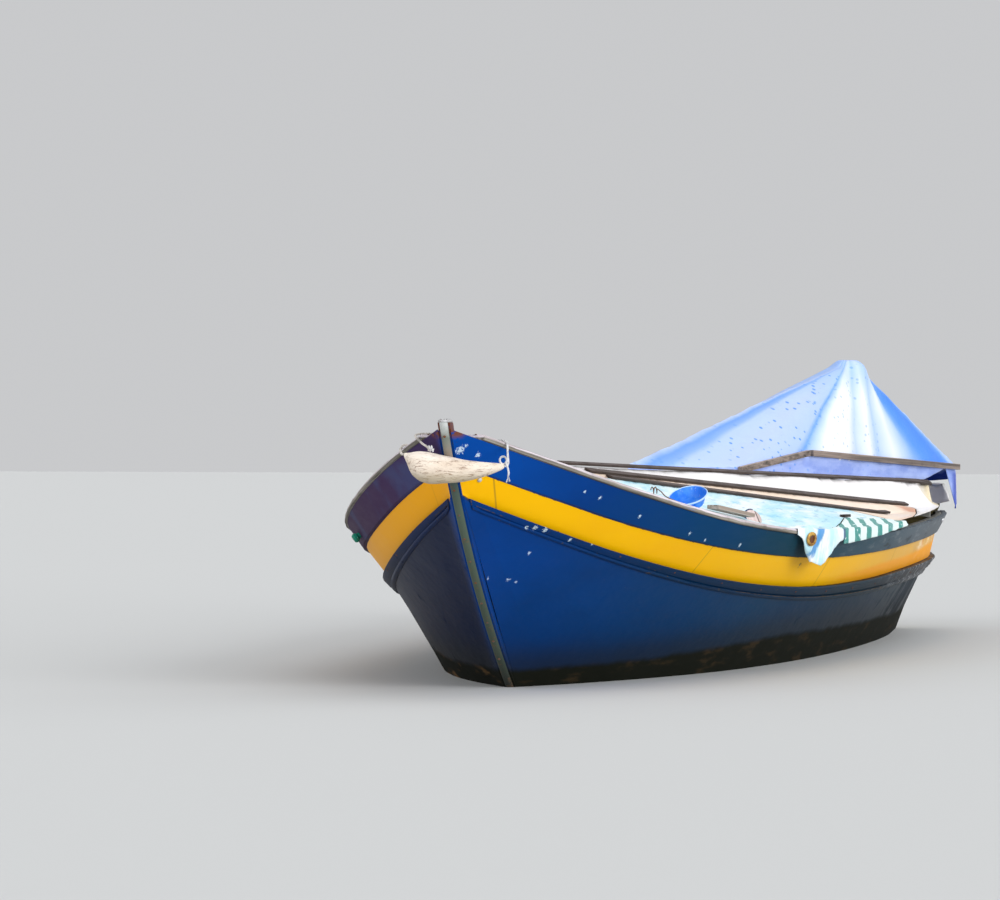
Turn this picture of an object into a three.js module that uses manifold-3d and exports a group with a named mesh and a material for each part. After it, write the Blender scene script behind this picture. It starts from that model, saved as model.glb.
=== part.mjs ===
// A flat-bottomed wooden work boat with a raked stem and a raised transom. Its hold lies under loose
// covers held down by battens, and a tarpaulin tent stands over its stern.
// Millimetres: X runs forward from the transom, Y to port, Z up from the waterline.

import * as THREE from 'three';
import { mergeVertices } from 'three/addons/utils/BufferGeometryUtils.js';
import Module from 'manifold-3d';

const wasm = await Module();
wasm.setup();

// Driving dimensions of the hull
const LENGTH = 7000; // transom's edge at the sheer to the stem's face at the sheer
const DRAFT = 200; // waterline to the underside of the bottom
const GAP = 0.3; // between pieces that touch
const FIT = 1; // between the planks' twisted inner faces and what lies against them
const STEM_RAKE = 0.618; // run aft for each mm down, at the stem's head
const STEM_SWEEP = 0.000445; // further run aft for each mm down, squared
const TRANSOM_RAKE = 0.287; // run forward for each mm down
const STEM_HALF = 24; // half the stem's width, where every plank ends
const STEM_DEPTH = 54; // fore and aft, behind the planks' ends
const STEM_FACE = 6; // stem's face in front of the planks
const MITRE = 0.1; // station where the inner edge of each plank's mitred end begins
const PLANK = 24; // thickness of the side planks
const BOTTOM = 28; // thickness of the bottom planks
const STRAKE = 26; // thickness of the upper strake
const STRAKE_PROUD = 14; // upper strake's foot outside the yellow strake
const WALE_PROUD = 34; // rubbing wale's top outside the planks
const BEAD_PROUD = 14; // rubbing wale's foot outside the planks
const RAIL = 22; // thickness of the cap rail
const TRANSOM = 40; // thickness of the transom
const TRANSOM_HEAD = 715; // height of the transom's top edge
const TRANSOM_EASE = 3; // how much smaller its aft face is all round
const STRAKE_RUN = 62; // upper strake's and wale's run past the transom's face

// Hull lines by station from the stem to the transom: share of the length, then for each line its
// half-breadth and its height
const STATIONS = [
  { share: 0.0, sheer: [24, 1052], strakeFoot: [24, 897], waleTop: [24, 777], waleFoot: [24, 735],
    waterline: [24, 0], chine: [24, -20] },
  { share: 0.06, sheer: [300, 920], strakeFoot: [280, 771], waleTop: [253, 653], waleFoot: [237, 612],
    waterline: [222, 0], chine: [185, -62] },
  { share: 0.14, sheer: [572, 783], strakeFoot: [533, 640], waleTop: [485, 524], waleFoot: [454, 482],
    waterline: [420, 0], chine: [372, -105] },
  { share: 0.25, sheer: [824, 656], strakeFoot: [774, 533], waleTop: [712, 411], waleFoot: [669, 364],
    waterline: [609, 0], chine: [550, -142] },
  { share: 0.4, sheer: [1012, 582], strakeFoot: [961, 470], waleTop: [900, 343], waleFoot: [852, 286],
    waterline: [746, 0], chine: [668, -172] },
  { share: 0.55, sheer: [1098, 574], strakeFoot: [1050, 466], waleTop: [1010, 340], waleFoot: [960, 271],
    waterline: [804, 0], chine: [712, -172] },
  { share: 0.7, sheer: [1122, 594], strakeFoot: [1078, 484], waleTop: [1058, 365], waleFoot: [1003, 288],
    waterline: [814, 0], chine: [718, -172] },
  { share: 0.85, sheer: [1078, 612], strakeFoot: [1036, 505], waleTop: [1030, 384], waleFoot: [965, 300],
    waterline: [785, 0], chine: [692, -160] },
  { share: 1.0, sheer: [930, 610], strakeFoot: [893, 524], waleTop: [880, 380], waleFoot: [812, 292],
    waterline: [706, 0], chine: [628, -118] },
];
const LAST = STATIONS.length - 1;
const RINGS_A_STATION = 4;
const RUN = 1000; // mm aft for one whole station past the transom

// Fittings inside the hull
const FRAMES = [900, 1600, 2300, 3000, 3700, 4400, 5060];
const FRAME_SIDED = 32;
const FLOOR_MOULDED = 50;
const ARM_MOULDED = 45;
const RISER_TOP = 300;
const RISER_DEPTH = 60;
const RISER_SIDED = 22;
const THWART_THICK = 30;
const DECK = 20;
const DECK_ENDS = [0.25, 2.3]; // stations
const DECK_CROWN = 18;
const CAP_ENDS = [0.33, 3.8]; // stations
const INWALE_SIDED = 30;

// Covers: each batten is a straight line from the foredeck to its aft end, with half-breadth and height
const BATTENS = {
  crest: { fore: [6450, 30, 905], aft: [600, 965, 736] },
  middle: { fore: [6450, 60, 897], aft: [1500, 960, 634] },
  lower: { fore: [6450, 92, 889], aft: [2150, 956, 605] },
};
const SHEET = 5; // thickness of a cover
const BATTEN = [30, 10]; // width and thickness
const EDGE_IN = 41; // cover's edge inside the sheer
const EDGE_UP = 8; // cover's edge above the sheer, aft of the cap rail
const BEARERS = [1500, 2700, 3900];
const BEARER_THICK = 29.5;

const finish = (color, roughness, metalness = 0) => (
  new THREE.MeshStandardMaterial({ color, roughness, metalness }));
const PAINT = {
  blue: finish(0x0b3f8f, 0.35),
  yellow: finish(0xf2b705, 0.4),
  rail: finish(0x8b8f86, 0.8),
  stem: finish(0x7d8a78, 0.75),
  bare: finish(0x9a7a56, 0.85),
  boards: finish(0x6f6a5c, 0.9),
  white: finish(0xf1efe9, 0.6),
  salmon: finish(0xe9b79c, 0.65),
  cyan: finish(0xbfe6ea, 0.6),
  green: finish(0x3f9f8c, 0.65),
  tarp: finish(0x5c86d6, 0.6),
  fender: finish(0xe9e2cf, 0.5),
  rope: finish(0xb9b2a2, 0.9),
};

const boat = new THREE.Group();

function add(name, geometry, paint) {
  const mesh = new THREE.Mesh(geometry, PAINT[paint]);
  mesh.name = name;
  boat.add(mesh);
}

const vector = (x, y, z) => new THREE.Vector3(x, y, z);

const flipped = ({ x, y, z }) => vector(x, -y, z);
const bothSides = (half) => [...half, ...half.map(flipped).reverse()];

// The port piece and its mirror image to starboard
function addPair(name, geometry, paint) {
  add(`${name}_port`, geometry, paint);
  add(`${name}_starboard`, mirrored(geometry), paint);
}

function mirrored(geometry) {
  const copy = geometry.clone();
  copy.scale(1, -1, 1);
  const index = copy.index.array;
  for (let i = 0; i < index.length; i += 3) {
    [index[i + 1], index[i + 2]] = [index[i + 2], index[i + 1]];
  }
  return copy;
}

// A closed body from points and triangles that share them, turned to face outward
function body(points, faces) {
  let volume = 0;
  for (const [a, b, c] of faces) {
    volume += points[a].dot(points[b].clone().cross(points[c]));
  }
  const outward = volume < 0 ? faces.map(([a, b, c]) => [a, c, b]) : faces;
  const geometry = new THREE.BufferGeometry().setFromPoints(points);
  geometry.setIndex(outward.flat());
  geometry.computeVertexNormals();
  return geometry;
}

// Triangles that fill a ring of points, wound as the ring is
function fill(ring) {
  const normal = vector(0, 0, 0);
  ring.forEach((p, i) => normal.add(p.clone().cross(ring[(i + 1) % ring.length])));
  const flat = new THREE.Matrix4().lookAt(normal, vector(0, 0, 0), vector(0.1, 0.2, 1)).invert();
  const outline = ring.map((p) => p.clone().applyMatrix4(flat));
  const backward = THREE.ShapeUtils.area(outline) < 0;
  const order = ring.map((_, i) => (backward ? ring.length - 1 - i : i));
  const triangles = wasm.triangulate([order.map((i) => [outline[i].x, outline[i].y])], 1e-6);
  return triangles.map(([a, b, c]) => (backward ? [order[a], order[c], order[b]] : [a, b, c]));
}

// A four-sided face as two triangles, parted from its foremost, highest corner, so that pieces that lie
// face to face are parted alike
function split(corners, points) {
  const reach = corners.map((i) => points[i].x + points[i].z);
  const first = reach.indexOf(Math.max(...reach));
  const [a, b, c, d] = [0, 1, 2, 3].map((i) => corners[(first + i) % 4]);
  return [[a, b, c], [a, c, d]];
}

// A closed body through rings of points, filled at the first ring and at the last
function skin(rings) {
  const size = rings[0].length;
  const points = rings.flat();
  const faces = [];
  for (let i = 0; i + 1 < rings.length; i += 1) {
    for (let j = 0; j < size; j += 1) {
      const a = i * size + j;
      const b = i * size + ((j + 1) % size);
      faces.push(...split([a, b, b + size, a + size], points));
    }
  }
  const end = (rings.length - 1) * size;
  fill(rings[0]).forEach(([a, b, c]) => faces.push([a, c, b]));
  fill(rings[rings.length - 1]).forEach(([a, b, c]) => faces.push([a + end, b + end, c + end]));
  return body(points, faces);
}

function solidOf(geometry) {
  const bare = geometry.clone();
  bare.deleteAttribute('normal');
  bare.deleteAttribute('uv');
  const merged = mergeVertices(bare, 1e-3);
  return new wasm.Manifold(new wasm.Mesh({
    numProp: 3,
    vertProperties: merged.attributes.position.array,
    triVerts: new Uint32Array(merged.index.array),
  }));
}

function geometryOf(solid) {
  const mesh = solid.getMesh();
  const geometry = new THREE.BufferGeometry();
  geometry.setAttribute('position', new THREE.BufferAttribute(mesh.vertProperties, 3));
  geometry.setIndex(new THREE.BufferAttribute(mesh.triVerts, 1));
  geometry.computeVertexNormals();
  return geometry;
}

// A three.js geometry as a solid with shared points
const solidGeometry = (geometry) => geometryOf(solidOf(geometry));

// Heights where the hull's ends begin
const STEM_TOP = STATIONS[0].sheer[1];
const TRANSOM_SHEER = STATIONS[LAST].sheer[1];

function stemX(z) {
  const down = STEM_TOP - z;
  return LENGTH - STEM_RAKE * down - STEM_SWEEP * down * down;
}

const transomX = (z) => TRANSOM_RAKE * (TRANSOM_SHEER - z);

// The samples that every plank shares, so that neighbours have the same facets
function sampled(name) {
  const fore = stemX(STATIONS[0][name][1]);
  const aft = transomX(STATIONS[LAST][name][1]);
  const points = STATIONS.map(({ share, [name]: [half, height] }) => (
    vector(fore + (aft - fore) * share, half, height)));
  const curve = new THREE.CatmullRomCurve3(points, false, 'centripetal');
  return curve.getPoints(LAST * RINGS_A_STATION);
}

const LINES = Object.fromEntries(
  ['sheer', 'strakeFoot', 'waleTop', 'waleFoot', 'waterline', 'chine'].map((name) => [name, sampled(name)]),
);
LINES.chine.forEach((point) => point.setZ(Math.max(point.z, BOTTOM - DRAFT)));

// A hull point moved in towards the centreline, though never past the stem's side
function inboard(point, distance, lift = 0) {
  const half = Math.max(point.y - distance, STEM_HALF + GAP);
  return vector(point.x, half, point.z + lift);
}

const inset = (name, distance, lift = 0) => LINES[name].map((point) => inboard(point, distance, lift));

// A point of a line of samples, straight between two of them, or straight on past the transom
function at(line, station) {
  const end = line[line.length - 1];
  if (station > LAST) {
    const run = end.clone().sub(line[line.length - 2]);
    return end.clone().addScaledVector(run, ((station - LAST) * RUN) / -run.x);
  }
  const place = station * RINGS_A_STATION;
  const before = Math.min(Math.floor(place), line.length - 2);
  return line[before].clone().lerp(line[before + 1], place - before);
}

function stationsFrom(first, last) {
  const inside = LINES.sheer.map((_, i) => i / RINGS_A_STATION).filter((s) => s > first && s < last);
  return [first, ...inside, last];
}

const PAST_TRANSOM = LAST + STRAKE_RUN / RUN;

// Edges of the planks: each outer edge with the inner edge behind it
const edge = (name, proud, lift, thickness) => ({
  outer: inset(name, proud, lift),
  inner: inset(name, proud + thickness, lift),
});
const STRAKE_HEAD = edge('sheer', 0, -RAIL, STRAKE);
const STRAKE_FOOT = edge('strakeFoot', 0, 0, STRAKE);
const YELLOW_HEAD = edge('strakeFoot', STRAKE_PROUD, -GAP, PLANK);
const YELLOW_FOOT = edge('waleTop', WALE_PROUD, GAP, PLANK);
const SIDE_HEAD = edge('waleTop', WALE_PROUD, 0, PLANK);
const SIDE_BEND = edge('waleFoot', BEAD_PROUD, 0, PLANK);
const SIDE_LOW = edge('waterline', 0, 0, PLANK);
const SIDE_FOOT = edge('chine', 0, GAP, PLANK);

// The outer corners of a plank and the inner ones, which start further aft in the mitre at the stem
function plankRing(station, edges) {
  const outer = edges.map((one) => at(one.outer, station));
  const start = Math.max(station, MITRE);
  const inside = edges.map((one) => {
    const point = at(one.inner, start);
    return station < MITRE ? point.setY(STEM_HALF + GAP) : point;
  });
  return [...outer, ...inside.reverse()];
}

function addPlanks() {
  const whole = stationsFrom(0, LAST);
  const long = stationsFrom(0, PAST_TRANSOM);
  addPair('upper_strake', skin(long.map((s) => plankRing(s, [STRAKE_HEAD, STRAKE_FOOT]))), 'blue');
  addPair('yellow_strake', skin(whole.map((s) => plankRing(s, [YELLOW_HEAD, YELLOW_FOOT]))), 'yellow');
  const side = whole.map((s) => plankRing(s, [SIDE_HEAD, SIDE_BEND, SIDE_LOW, SIDE_FOOT]));
  addPair('side_plank', skin(side), 'blue');
}

// The rubbing wale's face, from its top ledge over a groove to its bead: share of the way down, and
// how far each corner lies inside the face
const WALE_FACE = [[0, 8], [0.1, 0], [0.56, 0], [0.62, 10], [0.7, 10], [0.76, 1], [0.92, 1], [1, 6]];

function addWales() {
  const rings = stationsFrom(0.1, PAST_TRANSOM).map((s) => {
    const [top, foot] = [at(LINES.waleTop, s), at(LINES.waleFoot, s)];
    const back = [at(SIDE_BEND.outer, s), at(SIDE_HEAD.outer, s)];
    back.forEach((point) => point.setY(point.y + (s < 0.2 ? 5 : GAP)));
    const face = WALE_FACE.map(([share, depth]) => {
      const point = inboard(top.clone().lerp(foot, share), depth);
      const plank = back[1].clone().lerp(back[0], share);
      return point.setY(Math.max(point.y, plank.y + 4));
    });
    return [...face, ...back];
  });
  addPair('wale', skin(rings), 'blue');
}

function addRails() {
  const section = [[10, GAP - RAIL], [10, -6], [4, 0], [-52, 0], [-58, -6], [-58, GAP - RAIL]];
  const rings = stationsFrom(...CAP_ENDS).map((s) => (
    section.map(([out, up]) => inboard(at(LINES.sheer, s), -out, up))));
  addPair('cap_rail', skin(rings), 'rail');
  const inwale = stationsFrom(DECK_ENDS[1] + 0.05, LAST - 0.04).map((s) => {
    const head = inboard(at(STRAKE_HEAD.inner, s), GAP);
    const foot = inboard(at(STRAKE_HEAD.inner, s).lerp(at(STRAKE_FOOT.inner, s), 0.5), GAP);
    return [head, foot, inboard(foot, INWALE_SIDED), inboard(head, INWALE_SIDED)];
  });
  addPair('inwale', fitted(skin(inwale)), 'boards');
}

function addBottom() {
  const stations = stationsFrom(0, LAST + TRANSOM / RUN);
  const rings = stations.map((s) => {
    const { x, y, z } = at(LINES.chine, s);
    const fore = s === 0 ? x + 26 : x;
    return bothSides([vector(fore, y, z - BOTTOM), vector(fore, y, z)]);
  });
  add('bottom_planking', skin(rings), 'blue');
}

// Stem, its half-round band and its head

const STEM_LEVELS = 14;
const BAND_HALF = 16.5;
const BAND_PROUD = 17;
const HEAD_UP = 2;

function addStem() {
  const foot = STATIONS[0].chine[1] + GAP;
  const levels = Array.from({ length: STEM_LEVELS + 1 }, (_, i) => (
    THREE.MathUtils.lerp(foot, STEM_TOP + HEAD_UP, i / STEM_LEVELS)));
  const post = levels.map((z) => {
    const face = stemX(z) + STEM_FACE;
    const back = stemX(z) - STEM_DEPTH;
    return [vector(face, -STEM_HALF, z), vector(face, STEM_HALF, z), vector(back, STEM_HALF, z),
      vector(back, -STEM_HALF, z)];
  });
  add('stem_post', skin(post), 'bare');
  const band = levels.map((z) => Array.from({ length: 7 }, (_, i) => {
    const turn = (Math.PI * i) / 6;
    const face = stemX(z) + STEM_FACE + 2 * GAP;
    return vector(face + BAND_PROUD * Math.sin(turn), BAND_HALF * Math.cos(turn), z);
  }));
  add('stem_band', skin(band), 'stem');
  const headBase = STEM_TOP + HEAD_UP + GAP;
  const cap = [[0, 21], [8, 21], [13, 15]].map(([up, half]) => {
    const fore = stemX(headBase) + half - 2;
    const aft = stemX(headBase) - STEM_DEPTH - half + 13;
    const z = headBase + up;
    return [vector(fore, -half * 0.6, z), vector(fore, half * 0.6, z), vector(fore - 12, half, z),
      vector(aft, half, z), vector(aft, -half, z), vector(fore - 12, -half, z)];
  });
  add('stem_head', skin(cap), 'stem');
}

// Transom, between the upper strakes at its head and flush with the planks below them

function addTransom() {
  const outline = (s, ease) => {
    const shift = transomX(0) - (s - LAST) * RUN;
    const over = (y, z) => vector(shift - TRANSOM_RAKE * z, y, z);
    const head = at(LINES.sheer, s);
    const neck = at(LINES.strakeFoot, s);
    const clear = STRAKE + GAP;
    const below = [SIDE_FOOT, SIDE_LOW, SIDE_BEND, SIDE_HEAD, YELLOW_HEAD].map((one) => at(one.outer, s));
    const above = [over(neck.y - clear, neck.z), over(head.y - clear, head.z),
      over(head.y - clear, TRANSOM_HEAD)];
    return bothSides([...below, ...above].map(({ x, y, z }) => vector(x, y - ease, z)));
  };
  const front = LAST + GAP / RUN;
  add('transom', skin([outline(front, 0), outline(front + TRANSOM / RUN, TRANSOM_EASE)]), 'bare');
  const straps = [LAST - 0.01, LAST - 0.05].map((s) => {
    const top = inboard(at(YELLOW_HEAD.outer, s), -1.6 * FIT, -4);
    const foot = inboard(at(YELLOW_FOOT.outer, s), -1.6 * FIT, 4);
    return [top, foot, inboard(foot, -10), inboard(top, -10)];
  });
  addPair('quarter_strap', skin(straps), 'rail');
}

// Inside of the hull at a length and a height

const INNER_LINES = [['chine', 0], ['waterline', 0], ['waleFoot', BEAD_PROUD], ['waleTop', WALE_PROUD],
  ['strakeFoot', STRAKE_PROUD], ['sheer', STRAKE_PROUD]];

function lineAt(name, x) {
  const line = LINES[name];
  const next = Math.max(1, line.findIndex((point) => point.x <= x));
  const [fore, aft] = [line[next - 1], line[next]];
  return fore.clone().lerp(aft, THREE.MathUtils.clamp((fore.x - x) / (fore.x - aft.x), 0, 1));
}

function insideHalf(x, z) {
  const points = INNER_LINES.map(([name, proud]) => inboard(lineAt(name, x), proud + PLANK + FIT));
  const above = points.findIndex((point) => point.z >= z);
  if (above < 1) return points[above < 0 ? points.length - 1 : 0].y;
  const [low, high] = [points[above - 1], points[above]];
  return THREE.MathUtils.mapLinear(z, low.z, high.z, low.y, high.y);
}

const floorAt = (x) => lineAt('chine', x).z + GAP;

function frameRing(x) {
  const floor = floorAt(x);
  const head = lineAt('strakeFoot', x).z - 20;
  const levels = [head, lineAt('waleTop', x).z, lineAt('waleFoot', x).z, GAP, floor];
  const outer = levels.map((z) => vector(x, insideHalf(x, z) + PLANK / 2, z));
  const hollow = floor + FLOOR_MOULDED;
  const arm = outer.slice(0, 4).map(({ y, z }) => vector(x, y - PLANK / 2 - ARM_MOULDED, z)).reverse();
  const throat = vector(x, insideHalf(x, hollow) - ARM_MOULDED - 60, hollow);
  return bothSides([throat, ...arm, ...outer]);
}

// A piece cut to lie against the side planks, which are moved inboard a little to leave a gap
function fitted(geometry) {
  const planks = ['upper_strake', 'yellow_strake', 'side_plank'].flatMap((name) => (
    [['port', -3 * GAP], ['starboard', 3 * GAP]].map(([side, move]) => (
      solidOf(boat.getObjectByName(`${name}_${side}`).geometry).translate([0, move, 0])))));
  const left = solidOf(geometry).subtract(wasm.Manifold.union(planks));
  const [largest] = left.decompose().sort((a, b) => b.volume() - a.volume());
  return geometryOf(largest);
}

function addFrames() {
  FRAMES.forEach((x, i) => {
    const rings = [x - FRAME_SIDED / 2, x + FRAME_SIDED / 2].map(frameRing);
    add(`frame_${i + 1}`, fitted(skin(rings)), 'boards');
  });
}

function addFloorboards() {
  const stations = (aft, fore) => {
    const inside = LINES.chine.map((point) => point.x).filter((x) => x > aft && x < fore);
    return [fore, ...inside, aft];
  };
  const board = (aft, fore, left, right) => skin(stations(aft, fore).map((x) => {
    const z = floorAt(x) + FLOOR_MOULDED + GAP;
    return [vector(x, left, z), vector(x, right, z), vector(x, right, z + 20), vector(x, left, z + 20)];
  }));
  add('floorboard_middle', board(700, 5250, -170, 170), 'boards');
  addPair('floorboard', board(700, 4300, 185, 465), 'boards');
}

function addRisersAndSeats() {
  const frameFaces = FRAMES.flatMap((x) => [x - FRAME_SIDED / 2, x + FRAME_SIDED / 2]);
  const riser = [5200, ...frameFaces.reverse(), 260].map((x) => {
    const top = insideHalf(x, RISER_TOP) - ARM_MOULDED - 2 * GAP;
    const foot = insideHalf(x, RISER_TOP - RISER_DEPTH) - ARM_MOULDED - 2 * GAP;
    return [vector(x, top, RISER_TOP), vector(x, top - RISER_SIDED, RISER_TOP),
      vector(x, foot - RISER_SIDED, RISER_TOP - RISER_DEPTH), vector(x, foot, RISER_TOP - RISER_DEPTH)];
  });
  addPair('riser', skin(riser), 'boards');
  const low = RISER_TOP + GAP;
  const seat = (aft, fore) => skin([fore, (aft + fore) / 2, aft].map((x) => bothSides([
    vector(x, insideHalf(x, low) - 1, low),
    vector(x, insideHalf(x, low + THWART_THICK) - 1, low + THWART_THICK),
  ])));
  add('thwart_fore', seat(3940, 4160), 'boards');
  add('thwart_aft', seat(2540, 2760), 'boards');
  add('stern_bench', seat(150, 700), 'boards');
}

function addDeck() {
  const rings = stationsFrom(...DECK_ENDS).map((s) => {
    const head = inboard(at(STRAKE_HEAD.inner, s), FIT, -GAP);
    const foot = inboard(at(STRAKE_HEAD.inner, s).lerp(at(STRAKE_FOOT.inner, s), 0.25), FIT);
    foot.setZ(head.z - DECK);
    const shoulder = vector(head.x, Math.max(head.y - 36, 8), head.z);
    const crown = vector(head.x, 0, head.z + (DECK_CROWN * shoulder.y) / 500);
    return [crown, ...bothSides([foot, head, shoulder].reverse()).reverse()];
  });
  add('foredeck', skin(rings), 'boards');
  const top = lineAt('sheer', 5800).z - RAIL - DECK + 3.1;
  const beam = [5800, 5840].map((x) => bothSides([
    vector(x, insideHalf(x, top - 60) - 1, top - 60),
    vector(x, insideHalf(x, top) - 1, top),
  ]));
  add('deck_beam', skin(beam), 'boards');
}

// Covers over the hold

function battenAt(name, x) {
  const { fore, aft } = BATTENS[name];
  const share = (fore[0] - x) / (fore[0] - aft[0]);
  const between = (i) => THREE.MathUtils.lerp(fore[i], aft[i], share);
  return vector(x, between(1), between(2));
}

// The covers lie on the cap rail, and aft of it on the bearers
const edgeUp = (x) => THREE.MathUtils.clamp(THREE.MathUtils.mapLinear(x, 4345, 4150, 0, EDGE_UP), 0, EDGE_UP);

// The line that the covers follow across the boat at a length: edge, lower, middle, crest
function roofAt(x) {
  const sheer = lineAt('sheer', x);
  const edge = vector(x, sheer.y - EDGE_IN, sheer.z + edgeUp(x));
  const within = (point, room) => (
    vector(x, Math.min(point.y, edge.y - room), Math.max(point.z, edge.z + room * 0.6)));
  const under = (point, above) => (
    point.setZ(Math.min(point.z, THREE.MathUtils.mapLinear(point.y, above.y, edge.y, above.z, edge.z) - 1)));
  const crest = within(battenAt('crest', x), 44);
  const middle = under(within(battenAt('middle', x), 30), crest);
  const lower = under(within(battenAt('lower', x), 16), middle);
  return { edge, lower, middle, crest };
}

// A sheet of even thickness across the boat, raised off the line of points that it lies on, which runs
// from starboard to port
function sheetRing(points) {
  const normal = (from, to) => vector(0, from.z - to.z, to.y - from.y).normalize();
  const raised = points.map((point, i) => {
    const before = normal(points[Math.max(i - 1, 0)], points[Math.max(i, 1)]);
    const after = normal(points[Math.min(i, points.length - 2)], points[Math.min(i + 1, points.length - 1)]);
    const up = before.clone().add(after).normalize();
    const stretch = 1 / Math.max(up.dot(after), 0.5);
    return [2 * GAP, SHEET].map((height) => point.clone().addScaledVector(up, height * stretch));
  });
  return [...raised.map(([low]) => low), ...raised.map(([, high]) => high).reverse()];
}

// Lengths at which the covers bend, which take in both faces of each bearer
const COVER_X = [6300, 6000, 5650, 5500, 5250, 5000, 4700, 4400, 4345, 4150, 3920, 3880, 3600, 3300, 3000,
  2720, 2680, 2550, 2400, 2260, 2120, 1900, 1700, 1520, 1480, 1200, 900, 600, 300, 20];
const SEAM = 6; // half the gap between two covers, under a batten
const WHITE_STEP = 2410; // aft of here the white cover reaches the gunwale
const SALMON_STEP = 2660; // aft of here the salmon cover does
const SALMON_END = [[1548, 955], [1556, 985], [1640, 1020], [1900, 1060], [2380, 1105], [2400, 1400]];
const SALMON_SEAM = 5; // between the salmon cover's aft end and the white cover
const BANDED_FORE = 3990; // foremost end of the banded cloth

const lengths = (fore, aft) => [fore, ...COVER_X.filter((x) => x < fore - 1 && x > aft + 1), aft];
const towards = (point, other, distance) => point.clone().add(other.clone().sub(point).setLength(distance));

// The white cover's line across the boat, which laps over the transom's corners at its aft end
function whiteLine(x) {
  const { edge: low, lower, middle, crest } = roofAt(Math.max(x, 0));
  if (x < 0) {
    const corner = [vector(x, 912, crest.z), vector(x, 935, 668), vector(x, 944, 634)];
    const between = corner[1].clone().lerp(corner[2], 0.5);
    return [flipped(corner[1]), flipped(corner[0]), corner[0], corner[1], between, corner[2]];
  }
  const fore = x > WHITE_STEP - 3;
  const last = fore ? towards(middle, crest, SEAM) : low;
  const bend = fore ? towards(middle, crest, 1.02 * SEAM) : lower;
  const turn = fore ? towards(middle, crest, 1.04 * SEAM) : middle;
  return [flipped(low), flipped(crest), crest, turn, bend, last];
}

function salmonLine(x) {
  const { edge: low, lower, middle } = roofAt(x);
  const first = towards(middle, lower, SEAM);
  const last = x > SALMON_STEP - 3 ? towards(lower, middle, SEAM) : low;
  const bend = x > SALMON_STEP - 3 ? towards(lower, middle, 1.02 * SEAM) : lower;
  return [first, bend, last];
}

// Inner edge of the banded cloth: it comes in from the gunwale and then runs alongside it
function bandedLine(x) {
  const { edge: low, lower } = roofAt(x);
  const across = x > 3350 ? 930 + 0.16 * (x - 3350) : 930 + 0.155 * (3350 - x);
  return lower.clone().lerp(low, (Math.min(across, low.y - 14) - lower.y) / (low.y - lower.y));
}

// Opening in the white cover under the tent
const HATCH = [[2500, 60], [2150, 520], [1150, 700], [350, 780], [120, 600], [120, -150], [520, -340],
  [1500, -230]];

// A tall prism over an outline in plan
function plan(outline) {
  const shape = new THREE.Shape(outline.map(([x, y]) => new THREE.Vector2(x, y)));
  const prism = new THREE.ExtrudeGeometry(shape, { depth: 700, bevelEnabled: false });
  return solidOf(prism.translate(0, 0, 400));
}

const middleAt = (x) => battenAt('middle', x).y - SEAM;

function addCovers() {
  const white = [...lengths(COVER_X[0], WHITE_STEP), ...lengths(WHITE_STEP - 6, 20), -28, -62];
  const hatch = new THREE.ExtrudeGeometry(new THREE.Shape(HATCH.map(([x, y]) => new THREE.Vector2(x, y))), {
    depth: 400,
    bevelEnabled: false,
  }).translate(0, 0, 600);
  const sheet = solidOf(skin(white.map((x) => sheetRing(whiteLine(x)))));
  const covered = plan([...SALMON_END, [2440, 1400], [2440, middleAt(2440)], [1548, middleAt(1548)]]);
  add('cover_white', geometryOf(sheet.subtract(solidOf(hatch)).subtract(covered)), 'white');
  const salmon = [...lengths(6260, SALMON_STEP), ...lengths(SALMON_STEP - 6, 1560)];
  const slanted = SALMON_END.map(([x, y]) => [x + SALMON_SEAM, y - SALMON_SEAM]);
  const end = plan([[6500, -100], [1556, -100], ...slanted, [6500, 1400]]);
  const whole = solidOf(skin(salmon.map((x) => sheetRing(salmonLine(x)))));
  add('cover_salmon', geometryOf(whole.intersect(end)), 'salmon');
  const cyan = lengths(6220, SALMON_STEP + 25).map((x) => {
    const { edge: low, lower } = roofAt(x);
    const last = x > BANDED_FORE ? low : towards(bandedLine(x), lower, SEAM);
    return sheetRing([towards(lower, low, SEAM), last]);
  });
  add('cover_cyan', skin(cyan), 'cyan');
}

// Cloths that hang over the port gunwale
const strakeFace = (x, z) => {
  const [head, foot] = [lineAt('sheer', x), lineAt('strakeFoot', x)];
  return THREE.MathUtils.mapLinear(z, foot.z, head.z - RAIL, foot.y, head.y);
};

function addCloths() {
  const overGunwale = (x, out, low) => {
    const head = lineAt('sheer', x);
    const shoulder = Math.max(head.z - RAIL, low + 3);
    const hem = Math.max(strakeFace(x, low) + 4, head.y + out - 0.15 * (shoulder - low) - 1);
    const over = head.y + out;
    return [vector(x, over, head.z + edgeUp(x)), vector(x, over, shoulder), vector(x, hem, low)];
  };
  const banded = lengths(BANDED_FORE, SALMON_STEP + 25).map((x) => {
    const { edge: low } = roofAt(x);
    const drop = THREE.MathUtils.mapLinear(x, 2685, 3940, 12, 56);
    return sheetRing([bandedLine(x), low, ...overGunwale(x, 4, low.z - drop)]);
  });
  add('cloth_banded', skin(banded), 'green');
  const flap = [[4665, 26], [4600, 40], [4530, 86], [4465, 130], [4395, 138], [4320, 146], [4270, 134],
    [4172, 82], [4104, 52], [4012, 34]];
  const flapRings = flap.map(([x, drop]) => {
    const low = roofAt(x).edge;
    return sheetRing([vector(x, low.y + 3, low.z), ...overGunwale(x, 14, low.z - drop)]);
  });
  add('cover_flap', skin(flapRings), 'cyan');
}

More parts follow.
